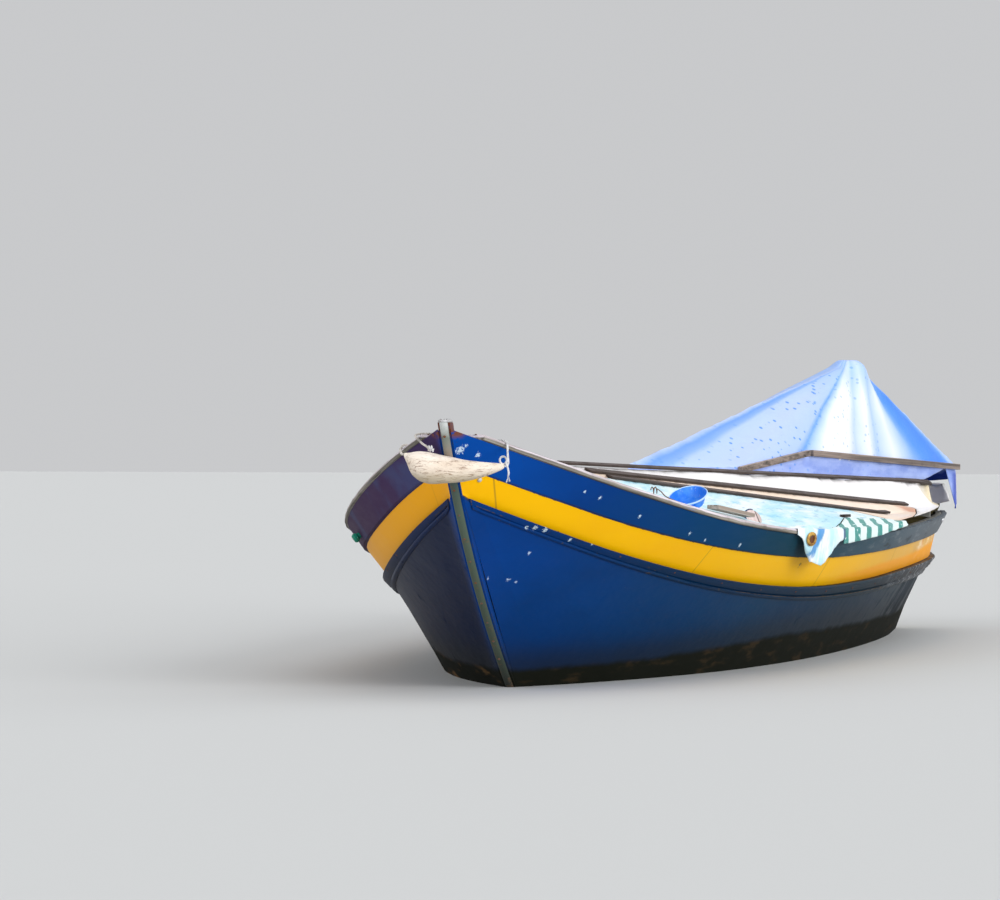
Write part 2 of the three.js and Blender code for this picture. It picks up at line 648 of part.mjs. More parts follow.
// Battens along the covers' edges, over the bend between two facets
function battenRing(before, point, after, clear) {
  const [one, two] = [before, after].map((other) => other.clone().sub(point).setX(0).normalize());
  const normal = (side) => vector(0, -side.z, side.y).multiplyScalar(Math.sign(side.y) || 1);
  const raise = SHEET + clear;
  const mean = normal(one).add(normal(two)).normalize();
  const low = [one, two].map((side) => (
    point.clone().addScaledVector(side, BATTEN[0] / 2).addScaledVector(normal(side), raise)));
  const seat = point.clone().addScaledVector(mean, raise / mean.dot(normal(one)));
  const high = low.map((corner) => corner.clone().addScaledVector(mean, BATTEN[1]));
  return [low[0], seat, low[1], high[1], high[0]];
}

function addBattens() {
  const bar = (fore, aft, clear, pick) => (
    skin(lengths(fore, aft).map((x) => battenRing(...pick(roofAt(x)), clear))));
  const inner = ({ crest }) => crest.clone().setY(crest.y - 50);
  const port = bar(5650, 600, 1.4 * FIT, (roof) => [inner(roof), roof.crest, roof.middle]);
  add('batten_crest_port', port, 'boards');
  const starboard = bar(5650, 600, 2 * GAP, (roof) => [inner(roof), roof.crest, roof.edge]);
  add('batten_crest_starboard', mirrored(starboard), 'boards');
  add('batten_middle', bar(5500, 1545, 1.5 * FIT, (roof) => [roof.crest, roof.middle, roof.lower]), 'boards');
  add('batten_lower', bar(5400, 2150, 1.5 * FIT, (roof) => [roof.middle, roof.lower, roof.edge]), 'boards');
}

function addBearers() {
  BEARERS.forEach((x, i) => {
    const rings = [x - 20, x + 20].map((there) => {
      const { edge: low, lower, middle, crest } = roofAt(there);
      const starboard = [crest, low].map(flipped);
      const top = [low, lower, middle, crest, ...starboard];
      const under = top.map((point) => vector(there, point.y, point.z - BEARER_THICK)).reverse();
      return [...top, ...under];
    });
    add(`cover_bearer_${i + 1}`, skin(rings), 'boards');
  });
}

// Tarpaulin tent over the stern, held up by a prop
const TENT_HEAD = [1200, 625, 1334];
const TENT_CORNER = vector(2200, 600, 905); // foremost end of the long port batten
const TENT_TAIL = vector(100, 1000, 817); // its aft end, past the port quarter
const TENT_FOOT = vector(2930, 395, 836); // foremost end of the short batten
const TENT_WALL = 8;
const TENT_ABOVE = 9; // hem above the line of the covers

// Hem of the tent from its foot on the covers round by port: X, Y, height of the fold, height of the hem
function tentOutline() {
  const hem = (x) => battenAt('crest', x).z + TENT_ABOVE;
  const fold = (from, to, share) => from.clone().lerp(to, share);
  const port = [
    fold(TENT_FOOT, TENT_CORNER, 0),
    fold(TENT_FOOT, TENT_CORNER, 0.5),
    ...[0, 0.26, 0.37, 0.45, 0.5, 0.57, 0.76].map((share) => fold(TENT_CORNER, TENT_TAIL, share)),
  ].map(({ x, y, z }) => [x, y, z, hem(x)]);
  const quarter = [[260, 969.5, 824, 800], [100, 1000, 817, 600], [0, 990, 812, 615], [-34, 966, 806, 746],
    [-50, 860, 800, 737]];
  const around = [[-52, 450, 790, 733], [-52, 50, 785, 733], [0, -300, 785, 728], [500, -430, 790, 743],
    [1100, -400, 805, 761], [1600, -300, 820, 775], [2500, -120, 838, 801], [3050, -30, 852, 817]];
  return [[3490, 0, 856, 829], ...port, ...quarter, ...around];
}

// A ring moved in or out level, square to itself
function widened(ring, distance, lift) {
  return ring.map((point, i) => {
    const run = ring[(i + 1) % ring.length].clone().sub(ring[(i + ring.length - 1) % ring.length]);
    const out = vector(run.y, -run.x, 0).normalize();
    return point.clone().addScaledVector(out, distance).add(vector(0, 0, lift));
  });
}

function addTent() {
  const outline = tentOutline();
  const [cx, cy, cz] = TENT_HEAD;
  const head = (radius, z) => outline.map(([x, y]) => {
    const turn = Math.atan2(y - cy, x - cx);
    return vector(cx + radius * Math.cos(turn), cy + radius * Math.sin(turn), z);
  });
  const fold = outline.map(([x, y, z]) => vector(x, y, z));
  const hem = outline.map(([x, y, , z]) => vector(x, y, z));
  const brow = head(92, cz - 34);
  const shoulder = brow.map((point, i) => point.clone().lerp(fold[i], 0.45).add(vector(0, 0, 10)));
  const outside = [head(56, cz), brow, shoulder, fold, hem];
  const inside = [[0, -TENT_WALL], [1, -TENT_WALL / 2], [1, 0], [1, 0], [1, 0]].map(([inwards, lift], i) => (
    widened(outside[i], -TENT_WALL * inwards - (i ? 0 : 4), lift)));
  add('tent', skin([...outside, ...inside.reverse()]), 'tarp');
  const bar = (from, to) => {
    const run = to.clone().sub(from);
    const out = vector(run.y, -run.x, 0).normalize();
    const section = [[0, -17], [22, -17], [22, 11], [0, 11]];
    return skin([from, to].map((end) => section.map(([away, up]) => (
      end.clone().addScaledVector(out, 2 * GAP + away).add(vector(0, 0, up - 6))))));
  };
  const gapAtCorner = vector(30, -8, 0);
  add('tent_batten_fore', bar(TENT_FOOT, TENT_CORNER.clone().add(gapAtCorner)), 'boards');
  add('tent_batten_aft', bar(TENT_CORNER, TENT_TAIL), 'boards');
  const foot = floorAt(cx) + GAP;
  const pole = new THREE.CylinderGeometry(22, 22, cz - TENT_WALL - GAP - foot, 16);
  pole.rotateX(Math.PI / 2).translate(cx, cy, (cz - TENT_WALL - GAP + foot) / 2);
  add('tent_pole', solidGeometry(pole), 'boards');
}

// Fender across the stem: distance from its fat end, radius, and height of its middle
const FENDER = [[0, 5, 932], [5, 12, 927], [14, 21, 918], [25, 35, 905], [37, 45, 897], [64, 56, 889],
  [95, 59, 885], [141, 54, 880], [199, 46, 874], [237, 40, 873], [295, 30, 876], [334, 22, 881],
  [372, 13, 887], [386, 7, 890]];
const FENDER_AT = [6967.6, -162]; // X of its middle, Y of its fat end
const FENDER_SIDES = 20;

function addFender() {
  const [x, start] = FENDER_AT;
  const rings = FENDER.map(([length, radius, height]) => (
    Array.from({ length: FENDER_SIDES }, (_, i) => {
      const turn = (2 * Math.PI * i) / FENDER_SIDES;
      return vector(x + radius * Math.cos(turn), start + length, height + radius * Math.sin(turn));
    })));
  add('fender', skin(rings), 'fender');
}

// The fender's lines, made fast round a peg in the foredeck
const PEG = { at: [6720, -118], radius: 15, top: 1004 };
const LINE_RADIUS = 4.5;
const LINE_SIDES = 10;
const PEG_TURN = PEG.radius + LINE_RADIUS + 0.6; // radius of a turn of line round the peg

// A round body of even thickness along a smooth curve through points
function line(points, radius, sides = LINE_SIDES) {
  const curve = new THREE.CatmullRomCurve3(points.map((point) => vector(...point)), false, 'centripetal');
  const count = Math.ceil(curve.getLength() / 8);
  const frames = curve.computeFrenetFrames(count, false);
  const rings = Array.from({ length: count + 1 }, (_, i) => {
    const middle = curve.getPointAt(i / count);
    return Array.from({ length: sides }, (__, j) => {
      const turn = (2 * Math.PI * j) / sides;
      return middle.clone()
        .addScaledVector(frames.normals[i], radius * Math.cos(turn))
        .addScaledVector(frames.binormals[i], radius * Math.sin(turn));
    });
  });
  return skin(rings);
}

// A piece with what would press into its neighbours cut away
function laidOn(geometry, names) {
  let left = solidOf(geometry);
  names.forEach((name) => {
    const other = solidOf(boat.getObjectByName(name).geometry);
    [[0, 0, 0.5], [0, 0.5, 0], [0, -0.5, 0], [0.5, 0, 0], [-0.5, 0, 0]].forEach((move) => {
      left = left.subtract(other.translate(move));
    });
  });
  const [largest] = left.decompose().sort((a, b) => b.volume() - a.volume());
  return geometryOf(largest);
}

// Points of a turn round the peg, at one height, between two angles in degrees
function roundPeg(from, to, height) {
  const count = Math.ceil(Math.abs(to - from) / 30);
  return Array.from({ length: count + 1 }, (_, i) => {
    const turn = THREE.MathUtils.degToRad(THREE.MathUtils.lerp(from, to, i / count));
    return [PEG.at[0] + PEG_TURN * Math.cos(turn), PEG.at[1] + PEG_TURN * Math.sin(turn), height];
  });
}

function addFenderLines() {
  const peg = new THREE.CylinderGeometry(PEG.radius, PEG.radius, 90, 16);
  peg.rotateX(Math.PI / 2).translate(...PEG.at, PEG.top - 45);
  add('peg', laidOn(peg, ['foredeck']), 'boards');
  const x = FENDER_AT[0];
  const port = [[x, 225.2, 890], [x, 232, 890.6], [x - 12, 238, 900], [6880, 219, 934], [6795, 199, 966],
    [6779, 194, 976], [6775, 184, 983.5], [6773, 165, 984.5], [6771, 135, 983.8], [6768, 118, 979],
    [6764, 104, 968], [6756, 80, 962], [6744, 20, 962], [6738, -50, 965], ...roundPeg(62, -190, 970)];
  add('fender_line_port', laidOn(line(port, LINE_RADIUS), ['cap_rail_port', 'foredeck', 'peg']), 'rope');
  const starboard = [[x, -163, 932], [x - 2, -170, 934], [x - 14, -177, 939], [6850, -205, 950],
    [6735, -229, 955], [6722, -231, 960], [6718, -224, 966], [6715, -200, 966.5], [6713, -172, 966],
    [6706, -152, 961], ...roundPeg(215, -40, 954), [6790, -84, 981], [6832, -60, 1000],
    [6845, -64, 1009.5], [6850, -82, 1010], [6852, -118, 1010], [6855, -138, 1008], [6866, -142, 1000],
    [6930, -102, 976], [x - 8, -72, 960], [x, -66, 952], [x, -65, 945.5]];
  const under = ['cap_rail_starboard', 'foredeck', 'peg', 'fender', 'fender_line_port'];
  add('fender_line_starboard', laidOn(line(starboard, LINE_RADIUS), under), 'rope');
}

addPlanks();
addWales();
addRails();
addBottom();
addStem();
addTransom();
addFrames();
addFloorboards();
addRisersAndSeats();
addDeck();
addCovers();
addCloths();
addBattens();
addBearers();
addTent();
addFender();
addFenderLines();

boat.position.set(-LENGTH / 2, 0, DRAFT);

export default boat;
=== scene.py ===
# Dresses a covered wooden work boat: painted planks, weathered rails and battens, loose covers, a
# tarpaulin tent, a fender and its ropes. Metres: X towards the bow, Y to port, Z up from the flat bottom.
import math

import bmesh
import bpy
import numpy as np
from bpy.props import FloatProperty, FloatVectorProperty, PointerProperty
from mathutils import Matrix, Vector, noise
from mathutils.bvhtree import BVHTree
from mathutils.kdtree import KDTree


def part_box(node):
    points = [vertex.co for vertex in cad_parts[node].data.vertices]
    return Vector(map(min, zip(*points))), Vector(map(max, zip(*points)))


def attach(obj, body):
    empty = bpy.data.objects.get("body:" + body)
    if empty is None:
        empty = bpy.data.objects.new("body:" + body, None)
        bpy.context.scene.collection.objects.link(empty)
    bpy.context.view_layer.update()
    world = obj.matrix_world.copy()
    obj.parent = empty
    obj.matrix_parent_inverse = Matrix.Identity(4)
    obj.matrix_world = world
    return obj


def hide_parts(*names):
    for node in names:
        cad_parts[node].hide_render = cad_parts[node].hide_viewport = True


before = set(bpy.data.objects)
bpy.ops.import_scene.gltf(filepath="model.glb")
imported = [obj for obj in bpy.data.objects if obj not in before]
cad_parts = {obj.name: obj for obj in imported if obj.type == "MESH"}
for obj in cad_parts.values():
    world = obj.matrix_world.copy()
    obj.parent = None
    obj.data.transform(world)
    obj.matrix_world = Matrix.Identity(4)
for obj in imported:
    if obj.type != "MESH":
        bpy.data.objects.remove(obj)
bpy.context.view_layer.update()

bl_info = {
    "name": "Covered wooden work boat",
    "version": (1, 0, 0),
    "blender": (4, 5, 0),
    "location": "View3D > Sidebar > Boat",
    "description": "Finishes the planks, covers, tent, fender and fastenings of a wooden work boat",
    "category": "Object",
}

WATERLINE = 0.2  # height of the water above the flat bottom
TRANSOM_X = -3.5  # where the top of the transom is
BODY = "root"
NODES = sorted(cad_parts)
SIDES = ("port", "starboard")

# The photograph's camera
CAMERA_AT = (22.487, 4.498, 1.324)
CAMERA_RIGHT = (-0.2200, 0.9755, 0.0)
CAMERA_FORWARD = (-0.9755, -0.2200, -0.0089)
CAMERA_LENS = 187.2
CAMERA_SENSOR = 36.0


# Values that a user would change

def colour(name, description, value):
    return FloatVectorProperty(name=name, description=description, default=value, subtype="COLOR", size=3,
                               min=0, max=1)


def length(name, description, value):
    return FloatProperty(name=name, description=description, default=value, unit="LENGTH", min=0)


class BoatSizes(bpy.types.PropertyGroup):
    edge: length("Plank edge", "Width of the worn round along each plank's edge", 0.003)
    batten_edge: length("Batten edge", "Width of the round along battens and rails", 0.0025)
    cover: length("Cover", "Thickness of the loose covers", 0.002)
    sag: length("Cover sag", "How far the covers hang down between their bearers", 0.012)
    crease: length("Crease", "Depth of the creases in the covers", 0.004)
    tent_fold: length("Tent folds", "Depth of the folds that run down from the tent's head", 0.022)
    nail: length("Nail head", "Radius of a nail's head", 0.0045)
    nail_gap: length("Nail spacing", "Distance between nails along a rail", 0.21)
    rope: length("Rope", "Diameter of the fender's lines", 0.011)


class BoatColours(bpy.types.PropertyGroup):
    blue: colour("Blue paint", "Topsides at the bow", (0.001, 0.040, 0.215))
    middle_blue: colour("Middle blue", "Topsides amidships", (0.001, 0.034, 0.090))
    faded_blue: colour("Faded blue", "Topsides towards the stern", (0.001, 0.018, 0.036))
    scraped_blue: colour("Scraped blue", "Topsides at the stern", (0.016, 0.032, 0.044))
    strake_blue: colour("Strake blue", "Upper strake at the bow", (0.001, 0.060, 0.330))
    strake_teal: colour("Strake teal", "Upper strake amidships", (0.006, 0.046, 0.076))
    strake_grey: colour("Strake grey", "Upper strake at the stern", (0.105, 0.130, 0.152))
    yellow: colour("Yellow paint", "Strake above the wale", (0.96, 0.51, 0.001))
    worn_yellow: colour("Worn yellow", "Yellow paint amidships", (0.93, 0.50, 0.001))
    old_yellow: colour("Old yellow", "Yellow paint near the stern", (0.78, 0.50, 0.206))
    fouling: colour("Fouling", "Growth and tar at the waterline", (0.008, 0.009, 0.006))
    pale_wood: colour("Pale wood", "Bleached tops of the rails", (0.85, 0.78, 0.86))
    dark_wood: colour("Dark wood", "Battens on the covers", (0.055, 0.034, 0.026))
    tan_wood: colour("Tan wood", "Battens on the tent", (0.30, 0.235, 0.20))
    olive_wood: colour("Olive wood", "Transom with its varnish gone", (0.42, 0.34, 0.13))
    white: colour("White cover", "Cover over the hold", (0.90, 0.88, 0.89))
    salmon: colour("Salmon cover", "Cover outside the white one", (0.90, 0.74, 0.60))
    cyan: colour("Cyan cover", "Cover along the port rail", (0.52, 0.82, 0.93))
    green: colour("Green bands", "Bands of the cloth over the gunwale", (0.01, 0.25, 0.22))
    tarp: colour("Tarpaulin", "Tent over the stern", (0.34, 0.50, 0.93))
    # painted light on the tent's bellies
    lit_tarp: colour("Pale tarpaulin", "Bleached bellies of the tent", (0.80, 0.84, 0.93))
    # painted shade in the tent's folds
    shaded_tarp: colour("Deep tarpaulin", "Folds of the tent that kept their dye", (0.06, 0.26, 0.86))
    fender: colour("Fender", "Fender's skin", (0.84, 0.74, 0.63))
    rope: colour("Rope", "Fender's lines", (0.62, 0.58, 0.54))


def sizes():
    return bpy.context.scene.boat_sizes


def colours():
    return bpy.context.scene.boat_colours


# Places on the boat

OUTSIDE = 2.0  # a distance beyond both sides, for rays that come from there
OVERHEAD = 1200  # a height above the water over every cover, in millimetres


def placed(x, y, z):
    """A place in metres from millimetres forward of the transom's top, to port and above the water."""
    return Vector((x / 1000 + TRANSOM_X, y / 1000, z / 1000 + WATERLINE))


def tree_of(*nodes):
    """A tree of faces, to find the boat's surface with."""
    points, faces = [], []
    for node in nodes:
        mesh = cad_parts[node].data
        start = len(points)
        points += [v.co.copy() for v in mesh.vertices]
        faces += [[start + i for i in p.vertices] for p in mesh.polygons]
    return BVHTree.FromPolygons(points, faces)


def surface(tree, start, direction):
    """Where a ray meets the boat, and the surface's way out there."""
    place, normal, _, _ = tree.ray_cast(Vector(start), Vector(direction))
    if place is None:
        raise RuntimeError(f"nothing lies along {tuple(direction)} from {tuple(start)}")
    return place, normal.normalized()


def from_side(tree, at, side="port"):
    """Where the boat's side is abeam of a place, and the way out there."""
    sign = 1 if side == "port" else -1
    return surface(tree, (at.x, sign * OUTSIDE, at.z), (0, -sign, 0))


def from_above(tree, x, y):
    """The top of the surface over a place given in millimetres."""
    return surface(tree, placed(x, y, OVERHEAD), (0, 0, -1))[0]


# Shader nodes

VALUE, COLOUR, VECTOR = "NodeSocketFloat", "NodeSocketColor", "NodeSocketVector"
GEOMETRY, OBJECT = "NodeSocketGeometry", "NodeSocketObject"
WHOLE, MATERIAL = "NodeSocketInt", "NodeSocketMaterial"


class Graph:
    """Adds nodes to a tree and links them."""

    def __init__(self, tree):
        self.tree = tree

    def put(self, socket, value):
        """Links a value to a socket, or sets it there as a constant."""
        if isinstance(value, bpy.types.NodeSocket):
            self.tree.links.new(value, socket)
        elif socket.type == "RGBA":
            socket.default_value = (*value[:3], 1)
        else:
            socket.default_value = value

    def add(self, kind, inputs=None, **settings):
        node = self.tree.nodes.new(kind)
        for key, value in settings.items():
            setattr(node, key, value)
        for name, value in (inputs or {}).items():
            self.put(node.inputs[name], value)
        return node

    def math(self, operation, a, b=0.0):
        return self.add("ShaderNodeMath", {0: a, 1: b}, operation=operation).outputs[0]

    def product(self, *values):
        total = values[0]
        for value in values[1:]:
            total = self.math("MULTIPLY", total, value)
        return total

    def sum(self, *values):
        total = values[0]
        for value in values[1:]:
            total = self.math("ADD", total, value)
        return total

    def less(self, value):
        """What is left of 1."""
        return self.math("SUBTRACT", 1.0, value)

    def swing(self, value, reach):
        """A value between 0 and 1 as a swing to both sides of 0."""
        return self.product(self.math("SUBTRACT", value, 0.5), reach)

    def mix(self, share, a, b):
        node = self.add("ShaderNodeMix", data_type="RGBA")
        for index, value in ((0, share), (6, a), (7, b)):
            self.put(node.inputs[index], value)
        return node.outputs[2]

    def over(self, tone, paint, *masks):
        """Lays a paint over a tone, where all its masks are 1."""
        return self.mix(self.product(*masks), tone, paint)

    def noise(self, vector, scale, detail=4.0, roughness=0.55, distortion=0.0):
        inputs = {"Vector": vector, "Scale": scale, "Detail": detail, "Roughness": roughness,
                  "Distortion": distortion}
        return self.add("ShaderNodeTexNoise", inputs).outputs[0]

    def stretched(self, vector, scale):
        return self.add("ShaderNodeMapping", {"Vector": vector, "Scale": scale}).outputs[0]

    def streaky(self, vector, stretch, *details):
        """Noise whose blots are drawn out along the axes with the smaller stretch."""
        return self.noise(self.stretched(vector, stretch), *details)

    def step(self, value, low, high, kind="SMOOTHSTEP"):
        """From 0 at the low value to 1 at the high one."""
        inputs = {0: value, 1: low, 2: high, 3: 0.0, 4: 1.0}
        return self.add("ShaderNodeMapRange", inputs, interpolation_type=kind).outputs[0]

    def between(self, value, low, high, soft):
        """1 between two values, with soft ends."""
        return self.product(self.step(value, low, low + soft), self.less(self.step(value, high - soft, high)))

    def ramp(self, value, *stops):
        """Colours in turn along a value; each stop is (value, colour), the lowest first."""
        low, high = stops[0][0], stops[-1][0]
        node = self.add("ShaderNodeValToRGB", {0: self.step(value, low, high, "LINEAR")})
        band = node.color_ramp.elements
        band[0].color, band[-1].color = (*stops[0][1][:3], 1), (*stops[-1][1][:3], 1)
        for at, tone in stops[1:-1]:
            band.new((at - low) / (high - low)).color = (*tone[:3], 1)
        return node.outputs[0]

    def split(self, vector):
        return self.add("ShaderNodeSeparateXYZ", {0: vector}).outputs

    def place(self):
        return self.add("ShaderNodeTexCoord").outputs["Object"]

    def attribute(self, name, output="Fac"):
        return self.add("ShaderNodeAttribute", attribute_name=name).outputs[output]

    def group(self, name, **inputs):
        """One of the shared effects; its inputs are named in small letters."""
        node = self.add("ShaderNodeGroup", node_tree=bpy.data.node_groups[name])
        for key, value in inputs.items():
            self.put(node.inputs[key.capitalize()], value)
        return node.outputs


def new_tree(name, kind, inputs, outputs):
    """An empty tree of nodes; inputs are (name, socket, default) and outputs are (name, socket)."""
    tree = bpy.data.node_groups.new(name, kind)
    for label, socket_type, default in inputs:
        socket = tree.interface.new_socket(label, in_out="INPUT", socket_type=socket_type)
        if default is not None:
            socket.default_value = default
    for label, socket_type in outputs:
        tree.interface.new_socket(label, in_out="OUTPUT", socket_type=socket_type)
    graph = Graph(tree)
    return graph, graph.add("NodeGroupInput").outputs, graph.add("NodeGroupOutput").inputs


def effect(name, inputs, outputs, fill):
    """A group of shader nodes that its fill function makes."""
    graph, source, target = new_tree(name, "ShaderNodeTree", inputs, outputs)
    for label, value in fill(graph, source).items():
        graph.put(target[label], value)


def chipped_paint(graph, source):
    """Flakes and fine scuffs in old paint, more of them along edges."""
    vector, amount = source["Vector"], source["Amount"]
    flakes = graph.streaky(vector, (5, 9, 9), 4.0, 8.0, 0.62)
    patches = graph.noise(vector, 2.3, 3.0)
    edge = graph.product(source["Edge"], 0.2)
    reach = graph.sum(flakes, graph.product(patches, 0.22))
    reach = graph.sum(reach, graph.sum(edge, graph.product(amount, 0.1)))
    chip = graph.step(reach, 0.845, 0.875)
    scuffs = graph.streaky(vector, (9, 60, 110), 1.6, 5.0, 0.7)
    scuff = graph.sum(scuffs, graph.product(patches, 0.25))
    scuff = graph.step(graph.sum(scuff, graph.product(amount, 0.05)), 0.9, 0.94)
    relief = graph.less(chip)
    return {"Chip": chip, "Scuff": scuff, "Relief": relief}


def wood_grain(graph, source):
    """Long fibres, darker pores and slow changes of tone, running along X."""
    vector = source["Vector"]
    fibre = graph.streaky(vector, (2.2, 190, 190), 1.0, 5.0, 0.65, 0.3)
    line = graph.streaky(vector, (1.1, 55, 55), 1.0, 3.0, 0.5, 0.6)
    dark = graph.step(line, 0.34, 0.62)
    tone = graph.mix(dark, source["Dark"], source["Light"])
    tone = graph.mix(graph.step(fibre, 0.25, 0.75), graph.mix(0.55, tone, source["Dark"]), tone)
    slow = graph.streaky(vector, (1.5, 4, 4), 1.3, 2.0)
    tone = graph.over(tone, source["Light"], graph.step(slow, 0.45, 0.8), 0.5)
    crack = graph.step(graph.streaky(vector, (1.4, 75, 75), 1.0, 2.0, 0.5), 0.3, 0.36)
    relief = graph.sum(graph.product(fibre, 0.5), crack)
    tone = graph.over(tone, (0.03, 0.025, 0.02), graph.less(crack), 0.8)
    return {"Color": tone, "Relief": relief}


def damp_foot(graph, source):
    """Dark growth from the waterline up to an uneven line, with a haze above it."""
    vector = source["Vector"]
    _, _, z = graph.split(vector)
    ragged = graph.streaky(vector, (3, 3, 1), 2.0, 6.0, 0.6)
    top = graph.sum(source["Top"], graph.swing(ragged, 0.035))
    above = graph.math("SUBTRACT", z, top)
    foul = graph.less(graph.step(above, -0.016, 0.014))
    haze = graph.less(graph.step(above, 0.0, 0.15))
    return {"Foul": foul, "Haze": haze}


def rain_streaks(graph, source):
    """Runs of dirt or rust down a side."""
    vector = source["Vector"]
    runs = graph.streaky(vector, (26, 26, 1.6), 1.0, 4.0, 0.6)
    gate = graph.streaky(vector, (2.2, 2.2, 0.6), 1.0, 2.0)
    reach = graph.sum(graph.product(runs, 0.7), graph.product(gate, 0.3))
    low = graph.math("SUBTRACT", 0.72, graph.product(source["Amount"], 0.28))
    return {"Streak": graph.step(graph.math("SUBTRACT", reach, low), 0.0, 0.10)}


def woven(graph, source):
    """Fine crossing threads."""
    inputs = {0: source["Vector"], "Scale": source["Threads"]}
    scaled = graph.add("ShaderNodeVectorMath", inputs, operation="SCALE").outputs[0]
    x, y, z = graph.split(scaled)
    across = graph.math("SINE", graph.sum(x, z))
    down = graph.math("SINE", graph.sum(y, z))
    return {"Relief": graph.product(across, down)}


def soiled(graph, source):
    """Blotches of dirt, and darker specks."""
    vector = source["Vector"]
    blotch = graph.noise(vector, 5.5, 6.0, 0.62)
    speck = graph.noise(vector, 75.0, 3.0, 0.5)
    dirt = graph.step(graph.sum(blotch, graph.product(source["Amount"], 0.25)), 0.6, 0.82)
    specks = graph.step(speck, 0.70, 0.75)
    return {"Dirt": dirt, "Speck": specks}


def scuffed_spot(graph, source):
    """A small ragged patch round a place."""
    vector = source["Vector"]
    away = graph.add("ShaderNodeVectorMath", {0: vector, 1: source["Centre"]},
                     operation="SUBTRACT").outputs[0]
    far = graph.add("ShaderNodeVectorMath", {0: away}, operation="LENGTH").outputs["Value"]
    ragged = graph.noise(vector, 120.0, 5.0, 0.75)
    reach = graph.sum(graph.math("DIVIDE", far, source["Size"]), graph.product(ragged, 3.4))
    return {"Mask": graph.less(graph.step(reach, 1.95, 2.25))}


def make_effects():
    vector, edge = ("Vector", VECTOR, None), ("Edge", VALUE, 0.0)
    light, dark = ("Light", COLOUR, None), ("Dark", COLOUR, None)
    effect("chipped paint", [vector, edge, ("Amount", VALUE, 0.5)],
           [("Chip", VALUE), ("Scuff", VALUE), ("Relief", VALUE)], chipped_paint)
    effect("wood grain", [vector, light, dark], [("Color", COLOUR), ("Relief", VALUE)], wood_grain)
    effect("damp foot", [vector, ("Top", VALUE, 0.3)], [("Foul", VALUE), ("Haze", VALUE)], damp_foot)
    effect("rain streaks", [vector, ("Amount", VALUE, 0.5)], [("Streak", VALUE)], rain_streaks)
    effect("woven", [vector, ("Threads", VALUE, 3000.0)], [("Relief", VALUE)], woven)
    effect("soiled", [vector, ("Amount", VALUE, 0.5)], [("Dirt", VALUE), ("Speck", VALUE)], soiled)
    effect("scuffed spot", [vector, ("Centre", VECTOR, None), ("Size", VALUE, 0.02)], [("Mask", VALUE)],
           scuffed_spot)


# Finishes

def finish(name, fill, metallic=0.0, sheen=0.0, specular=0.3):
    """A material: fill adds its nodes and gives its colour, roughness, relief and the relief's depth."""
    material = bpy.data.materials.new(name)
    material.use_nodes = True
    tree = material.node_tree
    tree.nodes.clear()
    graph = Graph(tree)
    tone, rough, relief, depth = fill(graph)
    bump = graph.add("ShaderNodeBump", {"Height": relief, "Distance": depth, "Strength": 1.0})
    shader = graph.add("ShaderNodeBsdfPrincipled", {
        "Base Color": tone, "Roughness": rough, "Metallic": metallic, "Sheen Weight": sheen,
        "Specular IOR Level": specular, "Normal": bump.outputs[0]})
    graph.add("ShaderNodeOutputMaterial", {0: shader.outputs[0]})


def darker(value, share):
    return tuple(channel * share for channel in value)


def toward_stern(graph, place, fore, aft):
    """From 0 at the fore place to 1 at the aft one, with a ragged change."""
    return graph.less(graph.step(along_boat(graph, place, 0.9), aft, fore))


def along_boat(graph, place, uneven):
    """The place along X, with an uneven change."""
    x, _, _ = graph.split(place)
    ragged = graph.streaky(place, (2, 2, 3), 1.5, 5.0, 0.6)
    return graph.sum(x, graph.swing(ragged, uneven))


def scuffs(graph, place, tone, paint, node, spots):
    """Lays small worn patches of one colour on a port plank; each is (x, z, size) in millimetres."""
    tree = tree_of(node)
    for x, z, size in spots:
        centre, _ = from_side(tree, placed(x, 0, z))
        mask = graph.group("scuffed spot", vector=place, centre=centre, size=size / 1000)["Mask"]
        tone = graph.over(tone, paint, mask, 0.85)
    return tone


# Small worn patches: each one's x and z in millimetres, and its size
SIDE_SCUFFS = ((6323, 546, 14), (6397, 450, 12), (6294, 440, 15), (6258, 431, 12))


